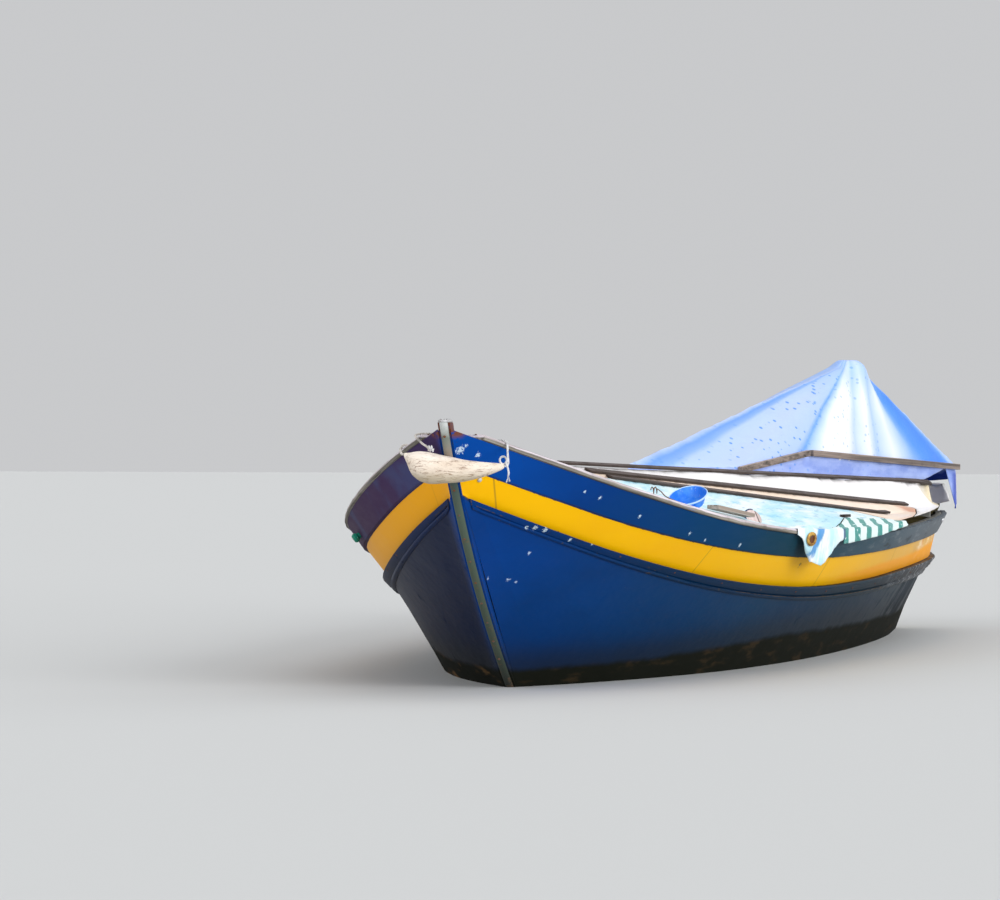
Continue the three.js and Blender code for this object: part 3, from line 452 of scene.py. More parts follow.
def topside_paint(graph):
    """Blue of the sides, faded amidships, scraped grey at the stern, with dark growth at the water."""
    c, place = colours(), graph.place()
    x, y, z = graph.split(place)
    run = along_boat(graph, place, 0.35)
    tone = graph.ramp(run, (-2.4, (0.038, 0.046, 0.052)), (-1.3, c.scraped_blue), (-0.3, c.faded_blue),
                      (1.0, c.middle_blue), (2.1, (0.001, 0.035, 0.135)), (3.0, c.blue))
    cloud = graph.streaky(place, (0.8, 0.8, 2.0), 1.6, 5.0)
    tone = graph.over(tone, (0.001, 0.018, 0.062), graph.step(cloud, 0.4, 0.75), 0.3)
    low = graph.less(graph.step(z, WATERLINE + 0.05, WATERLINE + 0.36))
    tone = graph.over(tone, (0.001, 0.01, 0.045), low, 0.5)
    stern = toward_stern(graph, place, -0.6, -2.8)
    worn = graph.streaky(place, (3.0, 3.0, 1.4), 2.4, 7.0, 0.65)
    worn = graph.step(graph.sum(worn, graph.product(stern, 0.30)), 0.58, 0.80)
    tone = graph.over(tone, (0.055, 0.061, 0.066), worn, stern, 0.6)
    streak = graph.group("rain streaks", vector=place, amount=0.35)["Streak"]
    tone = graph.over(tone, (0.17, 0.18, 0.19), streak, stern, 0.45)
    paint = graph.group("chipped paint", vector=place, edge=graph.attribute("edge"), amount=0.1)
    tone = graph.over(tone, (0.035, 0.045, 0.06), paint["Chip"], 0.6)
    tone = graph.over(tone, (0.14, 0.24, 0.44), paint["Scuff"], 0.16)
    tone = scuffs(graph, place, tone, (0.40, 0.50, 0.66), "side_plank_port", SIDE_SCUFFS)
    shade = graph.less(graph.step(y, -0.08, -0.02))
    tone = graph.over(tone, (0.001, 0.004, 0.02), shade, 0.9)
    top = graph.sum(WATERLINE + 0.075, graph.product(graph.less(graph.step(x, 0.4, 2.2)), 0.055))
    damp = graph.group("damp foot", vector=place, top=top)
    tone = graph.over(tone, darker(c.fouling, 1.5), damp["Haze"], 0.55)
    tone = graph.over(tone, c.fouling, damp["Foul"])
    slime = graph.streaky(place, (6, 6, 22), 1.0, 5.0)
    brown = graph.product(damp["Foul"], graph.step(slime, 0.54, 0.72),
                          graph.sum(0.18, graph.product(shade, 0.7)))
    tone = graph.over(tone, (0.14, 0.08, 0.035), brown)
    head = graph.step(z, WATERLINE + 0.985, WATERLINE + 1.015)
    bare = graph.step(graph.noise(place, 28.0, 5.0, 0.6), 0.36, 0.48)
    tone = graph.over(tone, (0.13, 0.045, 0.03), head, bare)
    ripple = graph.streaky(place, (2.5, 2.5, 5.0), 1.5, 3.0)
    brush = graph.streaky(place, (4, 30, 70), 1.0, 3.0)
    rough = graph.sum(0.40, graph.product(graph.math("MAXIMUM", worn, damp["Foul"]), 0.34))
    relief = graph.sum(graph.product(ripple, 1.6), graph.product(brush, 0.12),
                       graph.product(paint["Relief"], 0.1))
    return tone, rough, relief, 0.004


STRAKE_SCUFFS = ((6915, 950, 30), (6903, 965, 14), (6840, 930, 18), (6323, 783, 12), (6234, 758, 16),
                 (5966, 683, 14), (5587, 608, 15), (5444, 577, 13), (5137, 549, 18))


def strake_paint(graph):
    """Blue of the upper strake: scuffs at the bow, teal amidships, bleached grey at the stern."""
    c, place = colours(), graph.place()
    x, y, z = graph.split(place)
    run = along_boat(graph, place, 0.5)
    tone = graph.ramp(run, (-2.6, (0.14, 0.155, 0.172)), (-1.2, c.strake_grey),
                      (-0.1, (0.046, 0.086, 0.116)), (1.1, c.strake_teal), (2.0, (0.001, 0.045, 0.14)),
                      (2.8, (0.001, 0.038, 0.2)), (3.3, c.strake_blue))
    paint = graph.group("chipped paint", vector=place, edge=graph.attribute("edge"), amount=0.6)
    stern = toward_stern(graph, place, 1.2, -0.8)
    grey = graph.streaky(place, (5, 8, 30), 1.0, 6.0, 0.65)
    tone = graph.over(tone, (0.24, 0.27, 0.29), graph.step(grey, 0.5, 0.7), stern, 0.45)
    tone = graph.over(tone, (0.025, 0.03, 0.035), graph.less(graph.step(grey, 0.34, 0.44)), stern, 0.6)
    tone = graph.over(tone, (0.035, 0.04, 0.045), paint["Chip"], graph.sum(0.35, graph.product(stern, 0.5)))
    tone = graph.over(tone, (0.3, 0.42, 0.55), paint["Scuff"], 0.4)
    tone = scuffs(graph, place, tone, (0.60, 0.74, 0.85), "upper_strake_port", STRAKE_SCUFFS)
    # painted shade and reflection on the starboard side, in purple and dark blue patches
    shade = graph.less(graph.step(y, -0.05, 0.0))
    old = graph.mix(graph.step(graph.noise(place, 3.0, 5.0), 0.42, 0.6), (0.06, 0.024, 0.056),
                    (0.06, 0.055, 0.12))
    tone = graph.over(tone, old, shade, 0.85)
    head = graph.product(graph.step(x, 3.42, 3.455), graph.step(z, WATERLINE + 0.985, WATERLINE + 1.01))
    bare = graph.step(graph.noise(place, 34.0, 5.0, 0.6), 0.40, 0.50)
    tone = graph.over(tone, (0.17, 0.06, 0.04), head, bare)
    relief = graph.sum(graph.product(paint["Relief"], 0.35), graph.product(grey, 0.3))
    rough = graph.sum(0.46, graph.product(grey, 0.25))
    return tone, rough, relief, 0.0018


def rail_wood(graph):
    """Cap rail: its upper half bleached lilac-white, its lower half grey, with a trace of old blue."""
    c = colours()
    along = graph.attribute("along", "Vector")
    _, _, up = graph.split(along)
    wood = graph.group("wood grain", vector=along, light=(0.36, 0.33, 0.28), dark=(0.085, 0.075, 0.060))
    ragged = graph.swing(graph.streaky(along, (6, 20, 20), 1.0, 5.0, 0.6), 0.012)
    upper = graph.step(graph.sum(up, ragged), -0.0035, 0.0015)
    bleached = graph.group("wood grain", vector=graph.stretched(along, (1.4, 0.8, 0.8)), light=c.pale_wood,
                           dark=(0.5, 0.44, 0.46))
    tone = graph.mix(graph.product(upper, 0.92), wood["Color"], bleached["Color"])
    blue = graph.streaky(along, (2.5, 60, 60), 1.0, 4.0, 0.6)
    tone = graph.over(tone, (0.1, 0.13, 0.34), graph.step(blue, 0.62, 0.7), 0.6)
    soil = graph.group("soiled", vector=graph.stretched(along, (1.5, 3, 3)), amount=0.35)
    tone = graph.over(tone, (0.1, 0.085, 0.07), soil["Dirt"], 0.5)
    tone = graph.over(tone, (0.14, 0.05, 0.03), soil["Speck"], 0.8)
    return tone, graph.sum(0.62, graph.product(soil["Dirt"], 0.2)), wood["Relief"], 0.0014


YELLOW_SCUFFS = ((4291, 443, 20),)

# The joints in the yellow strake: where they cross it, how they lean and how wide they are
YELLOW_JOINTS = ((2.890, -0.95, 0.004), (1.817, -0.10, 0.004), (0.42, -0.10, 0.005),
                 (-0.95, 0.05, 0.004))


def butt_line(graph, x, z, at, lean, width):
    """A thin joint line across a strake."""
    level = graph.product(graph.math("SUBTRACT", z, WATERLINE + 0.5), lean)
    away = graph.math("ABSOLUTE", graph.math("SUBTRACT", graph.sum(x, level), at))
    return graph.less(graph.step(away, width * 0.4, width))


def yellow_paint(graph):
    """Yellow strake: clean forward, with joints, scratches, and rust and grime towards the stern."""
    c, place = colours(), graph.place()
    x, y, z = graph.split(place)
    run = along_boat(graph, place, 0.4)
    stern = toward_stern(graph, place, -0.6, -2.6)
    tone = graph.ramp(run, (-2.6, c.old_yellow), (-1.6, (0.68, 0.42, 0.12)), (-0.8, (0.75, 0.41, 0.045)),
                      (0.3, c.worn_yellow), (1.5, c.worn_yellow), (2.4, c.yellow), (3.3, c.yellow))
    slow = graph.streaky(place, (1.2, 1.2, 4), 1.4, 4.0)
    tone = graph.over(tone, (0.88, 0.4, 0.003), graph.step(slow, 0.45, 0.75), 0.35)
    soil = graph.group("soiled", vector=graph.stretched(place, (1.5, 1.5, 4)), amount=stern)
    tone = graph.over(tone, (0.55, 0.3, 0.1), soil["Dirt"], stern, 0.6)
    bleach = graph.streaky(place, (6, 6, 24), 1.0, 5.0)
    pale = graph.product(graph.step(bleach, 0.50, 0.68), graph.less(graph.step(x, -1.9, -1.2)))
    tone = graph.over(tone, (0.8, 0.66, 0.45), pale, 0.7)
    streak = graph.group("rain streaks", vector=place, amount=0.55)["Streak"]
    tone = graph.over(tone, (0.7, 0.2, 0.012), streak, stern, 0.7)
    paint = graph.group("chipped paint", vector=place, edge=graph.attribute("edge"), amount=0.15)
    tone = graph.over(tone, (0.2, 0.11, 0.035), paint["Chip"], 0.85)
    tone = graph.over(tone, (0.35, 0.22, 0.06), paint["Scuff"], 0.35)
    for at, lean, width in YELLOW_JOINTS:
        joint = butt_line(graph, x, z, at, lean, width)
        tone = graph.over(tone, (0.3, 0.17, 0.02), joint, 0.6)
    tone = scuffs(graph, place, tone, (0.1, 0.07, 0.03), "yellow_strake_port", YELLOW_SCUFFS)
    height = graph.sum(z, graph.product(x, 0.035), graph.product(slow, 0.02))
    low = graph.product(graph.less(graph.step(height, WATERLINE + 0.375, WATERLINE + 0.4)),
                        graph.less(graph.step(x, -0.6, 0.5)))
    tone = graph.over(tone, (0.86, 0.33, 0.004), low, 0.8)
    rusty = graph.product(graph.less(graph.step(x, -3.28, -3.12)),
                          graph.step(graph.noise(place, 20.0, 5.0, 0.65), 0.42, 0.56))
    tone = graph.over(tone, (0.3, 0.09, 0.02), rusty, 0.8)
    shade = graph.less(graph.step(y, -0.05, 0.0))
    tone = graph.over(tone, (0.9, 0.38, 0.001), shade, 0.8)
    rough = graph.sum(0.40, graph.product(stern, 0.22))
    ripple = graph.streaky(place, (2.5, 2.5, 5.0), 1.5, 3.0)
    relief = graph.sum(graph.product(ripple, 1.3), graph.product(paint["Relief"], 0.15))
    return tone, rough, relief, 0.003


WALE_SCUFFS = ((6449, 650, 17), (6419, 645, 20), (6371, 637, 20), (6222, 595, 16), (6100, 575, 12))


def wale_paint(graph):
    """Blue wale, rubbed to dark wood and brown along its edges, scraped black and grey at the stern."""
    place = graph.place()
    _, y, _ = graph.split(place)
    run = along_boat(graph, place, 0.5)
    tone = graph.ramp(run, (-2.6, (0.045, 0.047, 0.05)), (-1.6, (0.024, 0.029, 0.036)),
                      (-0.3, (0.003, 0.021, 0.038)), (2.0, (0.001, 0.026, 0.085)),
                      (3.1, (0.001, 0.034, 0.17)))
    paint = graph.group("chipped paint", vector=place, edge=graph.attribute("edge"), amount=1.0)
    rubbed = graph.streaky(place, (4, 10, 22), 1.4, 7.0, 0.68)
    rubbed = graph.step(graph.sum(rubbed, graph.product(graph.attribute("edge"), 0.16)), 0.62, 0.74)
    tone = graph.over(tone, (0.035, 0.023, 0.015), rubbed, 0.65)
    tone = graph.over(tone, (0.1, 0.07, 0.045), paint["Chip"], 0.7)
    tone = graph.over(tone, (0.24, 0.3, 0.38), paint["Scuff"], 0.4)
    stern = toward_stern(graph, place, -0.4, -1.8)
    scrape = graph.streaky(place, (26, 14, 7), 1.0, 6.0, 0.7)
    tone = graph.over(tone, (0.28, 0.29, 0.31), graph.step(scrape, 0.52, 0.6), stern, 0.8)
    tone = graph.over(tone, (0.012, 0.012, 0.014), graph.less(graph.step(scrape, 0.4, 0.46)), stern, 0.8)
    tone = scuffs(graph, place, tone, (0.62, 0.74, 0.80), "wale_port", WALE_SCUFFS)
    shade = graph.less(graph.step(y, -0.06, 0.0))
    tone = graph.over(tone, (0.008, 0.01, 0.026), shade, 0.65)
    rough = graph.sum(0.42, graph.product(rubbed, 0.32))
    relief = graph.sum(graph.product(paint["Relief"], 0.5), graph.product(rubbed, -0.6),
                       graph.product(scrape, stern, 0.5))
    return tone, rough, relief, 0.0020


def timber(light, dark, soil_amount=0.4, speck=0.5, depth=0.0012, top=None, top_share=0.8):
    """Bare wood whose grain runs along the piece, with a painted highlight on top where top gives a colour.
    """
    def fill(graph):
        along = graph.attribute("along", "Vector")
        wood = graph.group("wood grain", vector=along, light=light, dark=dark)
        soil = graph.group("soiled", vector=graph.stretched(along, (1, 2, 2)), amount=soil_amount)
        tone = graph.mix(graph.product(soil["Dirt"], 0.55), wood["Color"], darker(dark, 0.5))
        tone = graph.over(tone, (0.1, 0.045, 0.02), soil["Speck"], speck)
        tone = graph.over(tone, light, graph.attribute("edge"), 0.35)
        if top:
            # painted highlight on the faces that look up, in patches
            worn = graph.step(graph.streaky(along, (5, 30, 30), 1.0, 5.0, 0.6), 0.32, 0.52)
            tone = graph.over(tone, top, graph.attribute("top"), worn, top_share)
        return tone, graph.sum(0.62, graph.product(soil["Dirt"], 0.25)), wood["Relief"], depth
    return fill


def stem_iron(graph):
    """Half-round band: dull green-grey, bare and bright under its cap, rusty above the fender."""
    place = graph.place()
    _, _, z = graph.split(place)
    ragged = graph.streaky(place, (1, 1, 1), 22.0, 5.0, 0.65)
    height = graph.sum(z, graph.swing(ragged, 0.05))
    tone = graph.ramp(height, (0.2, (0.02, 0.024, 0.018)), (0.36, (0.055, 0.075, 0.055)),
                      (0.9, (0.078, 0.11, 0.082)), (1.06, (0.065, 0.095, 0.085)), (1.1, (0.34, 0.22, 0.16)),
                      (1.15, (0.26, 0.24, 0.2)), (1.19, (0.18, 0.21, 0.18)), (1.24, (0.52, 0.55, 0.54)))
    rust = graph.streaky(place, (30, 30, 12), 1.0, 6.0, 0.7)
    tone = graph.over(tone, (0.16, 0.085, 0.045), graph.step(rust, 0.56, 0.68), 0.6)
    pits = graph.noise(place, 160.0, 4.0)
    return (tone, graph.sum(0.42, graph.product(rust, 0.4)), graph.sum(pits, graph.product(rust, 0.6)),
            0.0012)


def sheet_finish(base, shade, dirt_and_shade_tone, soil_amount, threads=2600.0, gloss=0.5, end=None):
    """Coated cloth with dirt in blotches, a darker rim and a fine weave; end gives the tone of its aft end.
    """
    def fill(graph):
        place = graph.place()
        slow = graph.streaky(place, (1.0, 2.5, 2.5), 2.0, 4.0)
        tone = graph.mix(graph.product(graph.step(slow, 0.40, 0.75), 0.5), base, shade)
        soil = graph.group("soiled", vector=place, amount=soil_amount)
        tone = graph.over(tone, dirt_and_shade_tone, soil["Dirt"], 0.3)
        tone = graph.over(tone, darker(dirt_and_shade_tone, 0.6), soil["Speck"], 0.18)
        if end:
            blotch = graph.noise(place, 13.0, 5.0, 0.65)
            reach = graph.product(graph.attribute("end"), graph.sum(0.55, blotch))
            tone = graph.over(tone, end, graph.step(reach, 0.25, 0.75), 0.85)
        # darker along the rim: painted shade at the white cover's edge beside the battens, and the salmon
        # cover's real reddish edge
        tone = graph.over(tone, dirt_and_shade_tone, graph.attribute("hem"), 0.45)
        weave = graph.group("woven", vector=place, threads=threads)["Relief"]
        creases = graph.streaky(place, (3, 6, 6), 3.0, 5.0, 0.6)
        relief = graph.sum(graph.product(weave, 0.03), creases)
        return tone, graph.sum(gloss, graph.product(slow, 0.2)), relief, 0.004
    return fill


def cyan_finish(graph):
    """Thin cyan sheet, white where it creases, clear blue where it lies double, painted shade in its folds.
    """
    c, place = colours(), graph.place()
    long = graph.streaky(place, (1.6, 9, 9), 1.3, 5.0, 0.6)
    tone = graph.mix(graph.step(long, 0.40, 0.66), c.cyan, (0.86, 0.95, 0.98))
    deep = graph.streaky(place, (2.4, 11, 11), 1.1, 5.0, 0.6)
    tone = graph.over(tone, (0.22, 0.62, 0.86), graph.step(deep, 0.55, 0.72), 0.7)
    # painted shade: grey-blue in the hollows of the folds
    fold = graph.streaky(place, (7, 26, 26), 1.0, 4.0, 0.6)
    tone = graph.over(tone, (0.16, 0.42, 0.6), graph.less(graph.step(fold, 0.34, 0.42)), 0.45)
    weave = graph.group("woven", vector=place, threads=2900.0)["Relief"]
    relief = graph.sum(graph.product(weave, 0.03), fold, graph.product(long, 1.5))
    return tone, graph.sum(0.4, graph.product(deep, 0.2)), relief, 0.006


def tent_finish(graph):
    """Tarpaulin: deep blue painted shade in its folds, painted light on its bellies, dark drops on its fore
    side.
    """
    c, place = colours(), graph.place()
    share, down = graph.attribute("share"), graph.attribute("down")
    sway = graph.streaky(place, (1.5, 1.5, 1.2), 1.6, 4.0)
    share = graph.sum(share, graph.swing(sway, 0.09))
    # pale blues round the head are painted light on the bellies, deep blues painted shade in the folds
    tone = graph.ramp(share, (-1.0, (0.5, 0.62, 0.93)), (-0.96, (0.3, 0.46, 0.88)),
                      (-0.92, (0.12, 0.3, 0.8)), (-0.84, (0.22, 0.4, 0.86)), (-0.78, (0.42, 0.56, 0.92)),
                      (-0.5, (0.44, 0.55, 0.9)), (-0.14, (0.38, 0.52, 0.9)), (-0.05, (0.13, 0.34, 0.86)),
                      (0.03, (0.46, 0.62, 0.93)), (0.09, c.lit_tarp), (0.24, c.lit_tarp),
                      (0.32, (0.46, 0.6, 0.92)), (0.4, c.lit_tarp), (0.47, (0.38, 0.55, 0.92)),
                      (0.56, (0.74, 0.8, 0.92)), (0.64, (0.5, 0.64, 0.92)), (0.72, (0.24, 0.44, 0.9)),
                      (0.79, c.shaded_tarp), (0.88, (0.025, 0.2, 0.78)), (0.93, c.shaded_tarp),
                      (0.97, (0.36, 0.52, 0.9)), (1.0, c.tarp))
    back = graph.attribute("back")
    tone = graph.over(tone, graph.mix(graph.step(sway, 0.35, 0.65), c.tarp, (0.48, 0.6, 0.92)), back)
    head = graph.less(graph.step(down, 0.03, 0.20))
    tone = graph.over(tone, (0.3, 0.5, 0.92), head, 0.6)
    # painted shade on the skirt below the fold, in darker streaky blues
    skirt = graph.attribute("skirt")
    light = graph.streaky(place, (2.2, 2.2, 9), 1.4, 5.0)
    tone = graph.over(tone, graph.mix(graph.step(light, 0.38, 0.62), (0.21, 0.31, 0.74),
                                      (0.36, 0.47, 0.86)), skirt)
    tone = graph.over(tone, (0.012, 0.06, 0.46), graph.attribute("tail"))
    spots = graph.add("ShaderNodeTexVoronoi", {"Vector": graph.stretched(place, (1, 1, 1.5)), "Scale": 20.0,
                                               "Randomness": 1.0}, feature="F1")
    gate = graph.noise(place, 6.0, 2.0)
    drop = graph.less(graph.step(spots.outputs["Distance"], 0.15, 0.25))
    drop = graph.product(drop, graph.step(gate, 0.40, 0.48), graph.attribute("spots"))
    tone = graph.over(tone, (0.04, 0.24, 0.78), drop, 0.95)
    weave = graph.group("woven", vector=place, threads=1900.0)["Relief"]
    creases = graph.streaky(place, (4, 4, 4), 2.6, 6.0, 0.6)
    relief = graph.sum(graph.product(weave, 0.03), creases)
    rough = graph.math("SUBTRACT", 0.52, graph.product(drop, 0.2))
    return tone, rough, relief, 0.006


BAND_WAY = (-0.242, 0.970)  # the way across the banded cloth's bands, in X and Y
BAND_REPEAT = 0.068  # from one band to the next


def banded_finish(graph):
    """Woven cloth with slanting green bands, each broken by its creases."""
    c, place = colours(), graph.place()
    x, y, _ = graph.split(place)
    wave = graph.swing(graph.noise(place, 9.0, 3.0), 0.024)
    across = graph.sum(graph.product(y, BAND_WAY[1]), graph.product(x, BAND_WAY[0]), wave)
    phase = graph.math("FRACT", graph.sum(graph.product(across, 1 / BAND_REPEAT), 10.0))
    band = graph.between(phase, 0.06, 0.56, 0.07)
    broken = graph.streaky(place, (14, 30, 30), 1.3, 4.0)
    band = graph.product(band, graph.step(broken, 0.30, 0.40))
    tone = graph.mix(band, (0.74, 0.88, 0.88), c.green)
    soil = graph.group("soiled", vector=place, amount=0.2)
    tone = graph.over(tone, (0.3, 0.45, 0.5), soil["Dirt"], 0.3)
    weave = graph.group("woven", vector=place, threads=2200.0)["Relief"]
    relief = graph.sum(graph.product(weave, 0.05), graph.noise(place, 22.0, 4.0))
    return tone, graph.sum(0.7, graph.product(band, 0.1)), relief, 0.003


def flap_finish(graph):
    """White-cyan flap with a blue patch beside its ring and a dark blue band along its aft edge."""
    place = graph.place()
    x, _, z = graph.split(place)
    slow = graph.streaky(place, (9, 9, 5), 1.0, 5.0, 0.6)
    tone = graph.mix(graph.step(slow, 0.40, 0.62), (0.88, 0.92, 0.93), (0.50, 0.78, 0.88))
    ragged = graph.swing(graph.noise(place, 26.0, 5.0, 0.65), 0.09)
    lean = graph.product(graph.math("SUBTRACT", z, WATERLINE + 0.56), 1.1)
    run, height = graph.sum(x, lean, ragged), graph.sum(z, ragged)
    patch = graph.product(graph.between(run, 0.845, 0.975, 0.035),
                          graph.between(height, 0.665, 0.835, 0.03))
    tone = graph.over(tone, (0.035, 0.26, 0.62), patch, 0.92)
    # a dark blue band along the aft edge, where the flap meets the banded cloth
    fold = graph.less(graph.step(graph.sum(x, graph.product(ragged, 0.3)), 0.530, 0.556))
    tone = graph.over(tone, (0.012, 0.06, 0.18), fold, 0.9)
    streak = graph.streaky(place, (30, 30, 6), 1.0, 4.0)
    tone = graph.over(tone, (0.3, 0.5, 0.6), graph.step(streak, 0.58, 0.7), 0.4)
    relief = graph.sum(graph.noise(place, 16.0, 4.0), graph.product(streak, 0.8))
    return tone, graph.sum(0.5, graph.product(slow, 0.2)), relief, 0.004


def fender_finish(graph):
    """Leathery off-white skin, scuffed brown in long scratches."""
    c, place = colours(), graph.place()
    _, _, z = graph.split(place)
    slow = graph.streaky(place, (9, 3, 9), 1.6, 5.0)
    tone = graph.mix(graph.product(graph.step(slow, 0.44, 0.70), 0.55), c.fender, (0.60, 0.47, 0.35))
    scratch = graph.streaky(place, (70, 14, 95), 1.2, 6.0, 0.72, 0.5)
    tone = graph.over(tone, (0.26, 0.15, 0.1), graph.step(scratch, 0.53, 0.61), 0.75)
    fine = graph.streaky(place, (160, 40, 200), 1.0, 4.0, 0.7)
    tone = graph.over(tone, (0.36, 0.24, 0.17), graph.step(fine, 0.56, 0.66), 0.5)
    under = graph.less(graph.step(z, WATERLINE + 0.835, WATERLINE + 0.88))
    tone = graph.over(tone, (0.36, 0.29, 0.15), under, 0.55)
    ridge = graph.step(z, WATERLINE + 0.905, WATERLINE + 0.93)
    tone = graph.over(tone, (0.93, 0.86, 0.78), ridge, 0.5)
    dents = graph.streaky(place, (14, 7, 14), 1.0, 4.0)
    wrinkle = graph.streaky(place, (40, 14, 60), 1.0, 5.0, 0.65)
    relief = graph.sum(dents, graph.product(scratch, 0.5), graph.product(wrinkle, 0.35))
    return tone, graph.sum(0.48, graph.product(slow, 0.25)), relief, 0.008


def moulded(base, worn):
    """Moulded plastic, dulled and scratched."""
    def fill(graph):
        place = graph.place()
        scratch = graph.streaky(place, (60, 60, 60), 1.5, 5.0, 0.7)
        dull = graph.noise(place, 12.0, 4.0)
        tone = graph.mix(graph.product(graph.step(dull, 0.42, 0.66), 0.6), base, worn)
        tone = graph.over(tone, (0.75, 0.85, 0.92), graph.step(scratch, 0.6, 0.7), 0.4)
        return tone, graph.sum(0.3, graph.product(dull, 0.3)), scratch, 0.0006
    return fill


def plain_metal(base, rust_tone, amount):
    """Metal with rust or tarnish in patches."""
    def fill(graph):
        place = graph.place()
        patch = graph.noise(place, 45.0, 5.0, 0.65)
        tone = graph.mix(graph.step(graph.sum(patch, amount * 0.3), 0.5, 0.72), base, rust_tone)
        return tone, graph.sum(0.3, graph.product(patch, 0.4)), patch, 0.0008
    return fill


def rope_finish(base):
    """Weathered fibre with dirt between its strands."""
    def fill(graph):
        place = graph.place()
        fuzz = graph.noise(place, 260.0, 3.0, 0.6)
        dirt = graph.noise(place, 30.0, 4.0)
        tone = graph.mix(graph.step(dirt, 0.4, 0.7), base, darker(base, 0.45))
        tone = graph.over(tone, (0.8, 0.76, 0.7), graph.step(fuzz, 0.5, 0.7), 0.4)
        return tone, graph.sum(0.8, graph.product(fuzz, 0.1)), fuzz, 0.0012
    return fill


def make_finishes():
    c = colours()
    dark, tan, olive = (tuple(value) for value in (c.dark_wood, c.tan_wood, c.olive_wood))
    paints = {"topside paint": topside_paint, "strake paint": strake_paint, "yellow paint": yellow_paint,
              "wale paint": wale_paint}
    for name, fill in paints.items():
        finish(name, fill, specular=0.04)
    finish("stem iron", stem_iron, specular=0.2)
    finish("fender skin", fender_finish, specular=0.2)
    finish("tent cloth", tent_finish, sheen=0.1)
    finish("banded cloth", banded_finish, sheen=0.2)
    plain = {
        "grey rail": rail_wood,
        "stem cap": timber((0.66, 0.68, 0.70), (0.12, 0.08, 0.07), 0.5, 0.6),
        "bare wood": timber(olive, darker(olive, 0.3), 0.5, 0.5),
        # the battens' lighter tops are a painted highlight
        "batten wood": timber(dark, darker(dark, 0.3), 0.4, 0.3, top=(0.13, 0.10, 0.095), top_share=0.6),
        "tent batten wood": timber(tan, darker(tan, 0.25), 0.4, 0.5, top=(0.46, 0.37, 0.33)),
        "board wood": timber((0.30, 0.26, 0.20), (0.08, 0.065, 0.045), 0.7, 0.5),
        "tan board": timber((0.50, 0.41, 0.35), (0.26, 0.21, 0.17), 0.3, 0.3),
        "pale board": timber((0.72, 0.58, 0.56), (0.48, 0.38, 0.36), 0.2, 0.1),
        "inside paint": timber((0.24, 0.24, 0.22), (0.09, 0.085, 0.07), 0.8, 0.4),
        "white cover": sheet_finish(tuple(c.white), (0.82, 0.80, 0.81), (0.62, 0.57, 0.50), 0.05,
                                    end=(0.78, 0.66, 0.42)),
        "salmon cover": sheet_finish(tuple(c.salmon), (0.88, 0.80, 0.78), (0.60, 0.34, 0.22), 0.1,
                                     end=(0.62, 0.28, 0.17)),
        "cyan cover": cyan_finish,
        "flap cloth": flap_finish,
        "dark plastic": moulded((0.006, 0.035, 0.11), (0.02, 0.08, 0.20)),
        "blue plastic": moulded((0.003, 0.15, 0.72), (0.10, 0.36, 0.86)),
        "pale plastic": moulded((0.42, 0.60, 0.86), (0.62, 0.76, 0.92)),
        "green plastic": moulded((0.005, 0.22, 0.14), (0.03, 0.30, 0.20)),
        "pale rope": rope_finish((0.74, 0.74, 0.76)),
        "tan rope": rope_finish(tuple(c.rope)),
    }
    for name, fill in plain.items():
        finish(name, fill)
    finish("rusty iron", plain_metal((0.12, 0.11, 0.11), (0.17, 0.06, 0.02), 0.6), metallic=0.4)
    finish("bright screw", plain_metal((0.62, 0.63, 0.65), (0.16, 0.13, 0.11), 0.1), metallic=0.6)
    finish("brass ring", plain_metal((0.62, 0.38, 0.09), (0.22, 0.10, 0.04), 0.3), metallic=0.6)


# Meshes

WELD = 2e-5  # corners nearer than this are one
FLAT_WITHIN = 0.4  # degrees by which neighbouring faces may differ to be made one
ROOM_FOR_ROUND = 2.2  # a face takes a round along its edge when it is this many times as wide
GRAIN_SHIFT = 3.1  # how far each piece's grain starts from the last one's, along the fibres


def merged(node):
    """The CAD node's shape with its loose triangles joined."""
    shape = bmesh.new()
    shape.from_mesh(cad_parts[node].data)
    bmesh.ops.remove_doubles(shape, verts=shape.verts, dist=WELD)
    return shape


def settle(made, material, replaced=(), smooth=30.0):
    """Links a finished object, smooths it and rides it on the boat."""
    bpy.context.scene.collection.objects.link(made)
    if not made.data.materials:
        made.data.materials.append(bpy.data.materials[material])
    made.data.polygons.foreach_set("use_smooth", [True] * len(made.data.polygons))
    made.data.set_sharp_from_angle(angle=math.radians(smooth))
    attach(made, BODY)
    if replaced:
        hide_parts(*replaced)
    return made


def piece(name, shape, material, replaced=(), smooth=30.0):
    """A finished object from a bmesh, which rides on the boat."""
    mesh = bpy.data.meshes.new(name)
    shape.to_mesh(mesh)
    shape.free()
    return settle(bpy.data.objects.new(name, mesh), material, replaced, smooth)


LOOKS_UP = 0.7  # a face is a top when the upward part of its way out is more than this


def mark_top(shape):
    """Marks the faces that look up, in the face value top."""
    mark = shape.faces.layers.float.new("top")
    shape.normal_update()
    for face in shape.faces:
        face[mark] = 1.0 if face.normal.z > LOOKS_UP else 0.0


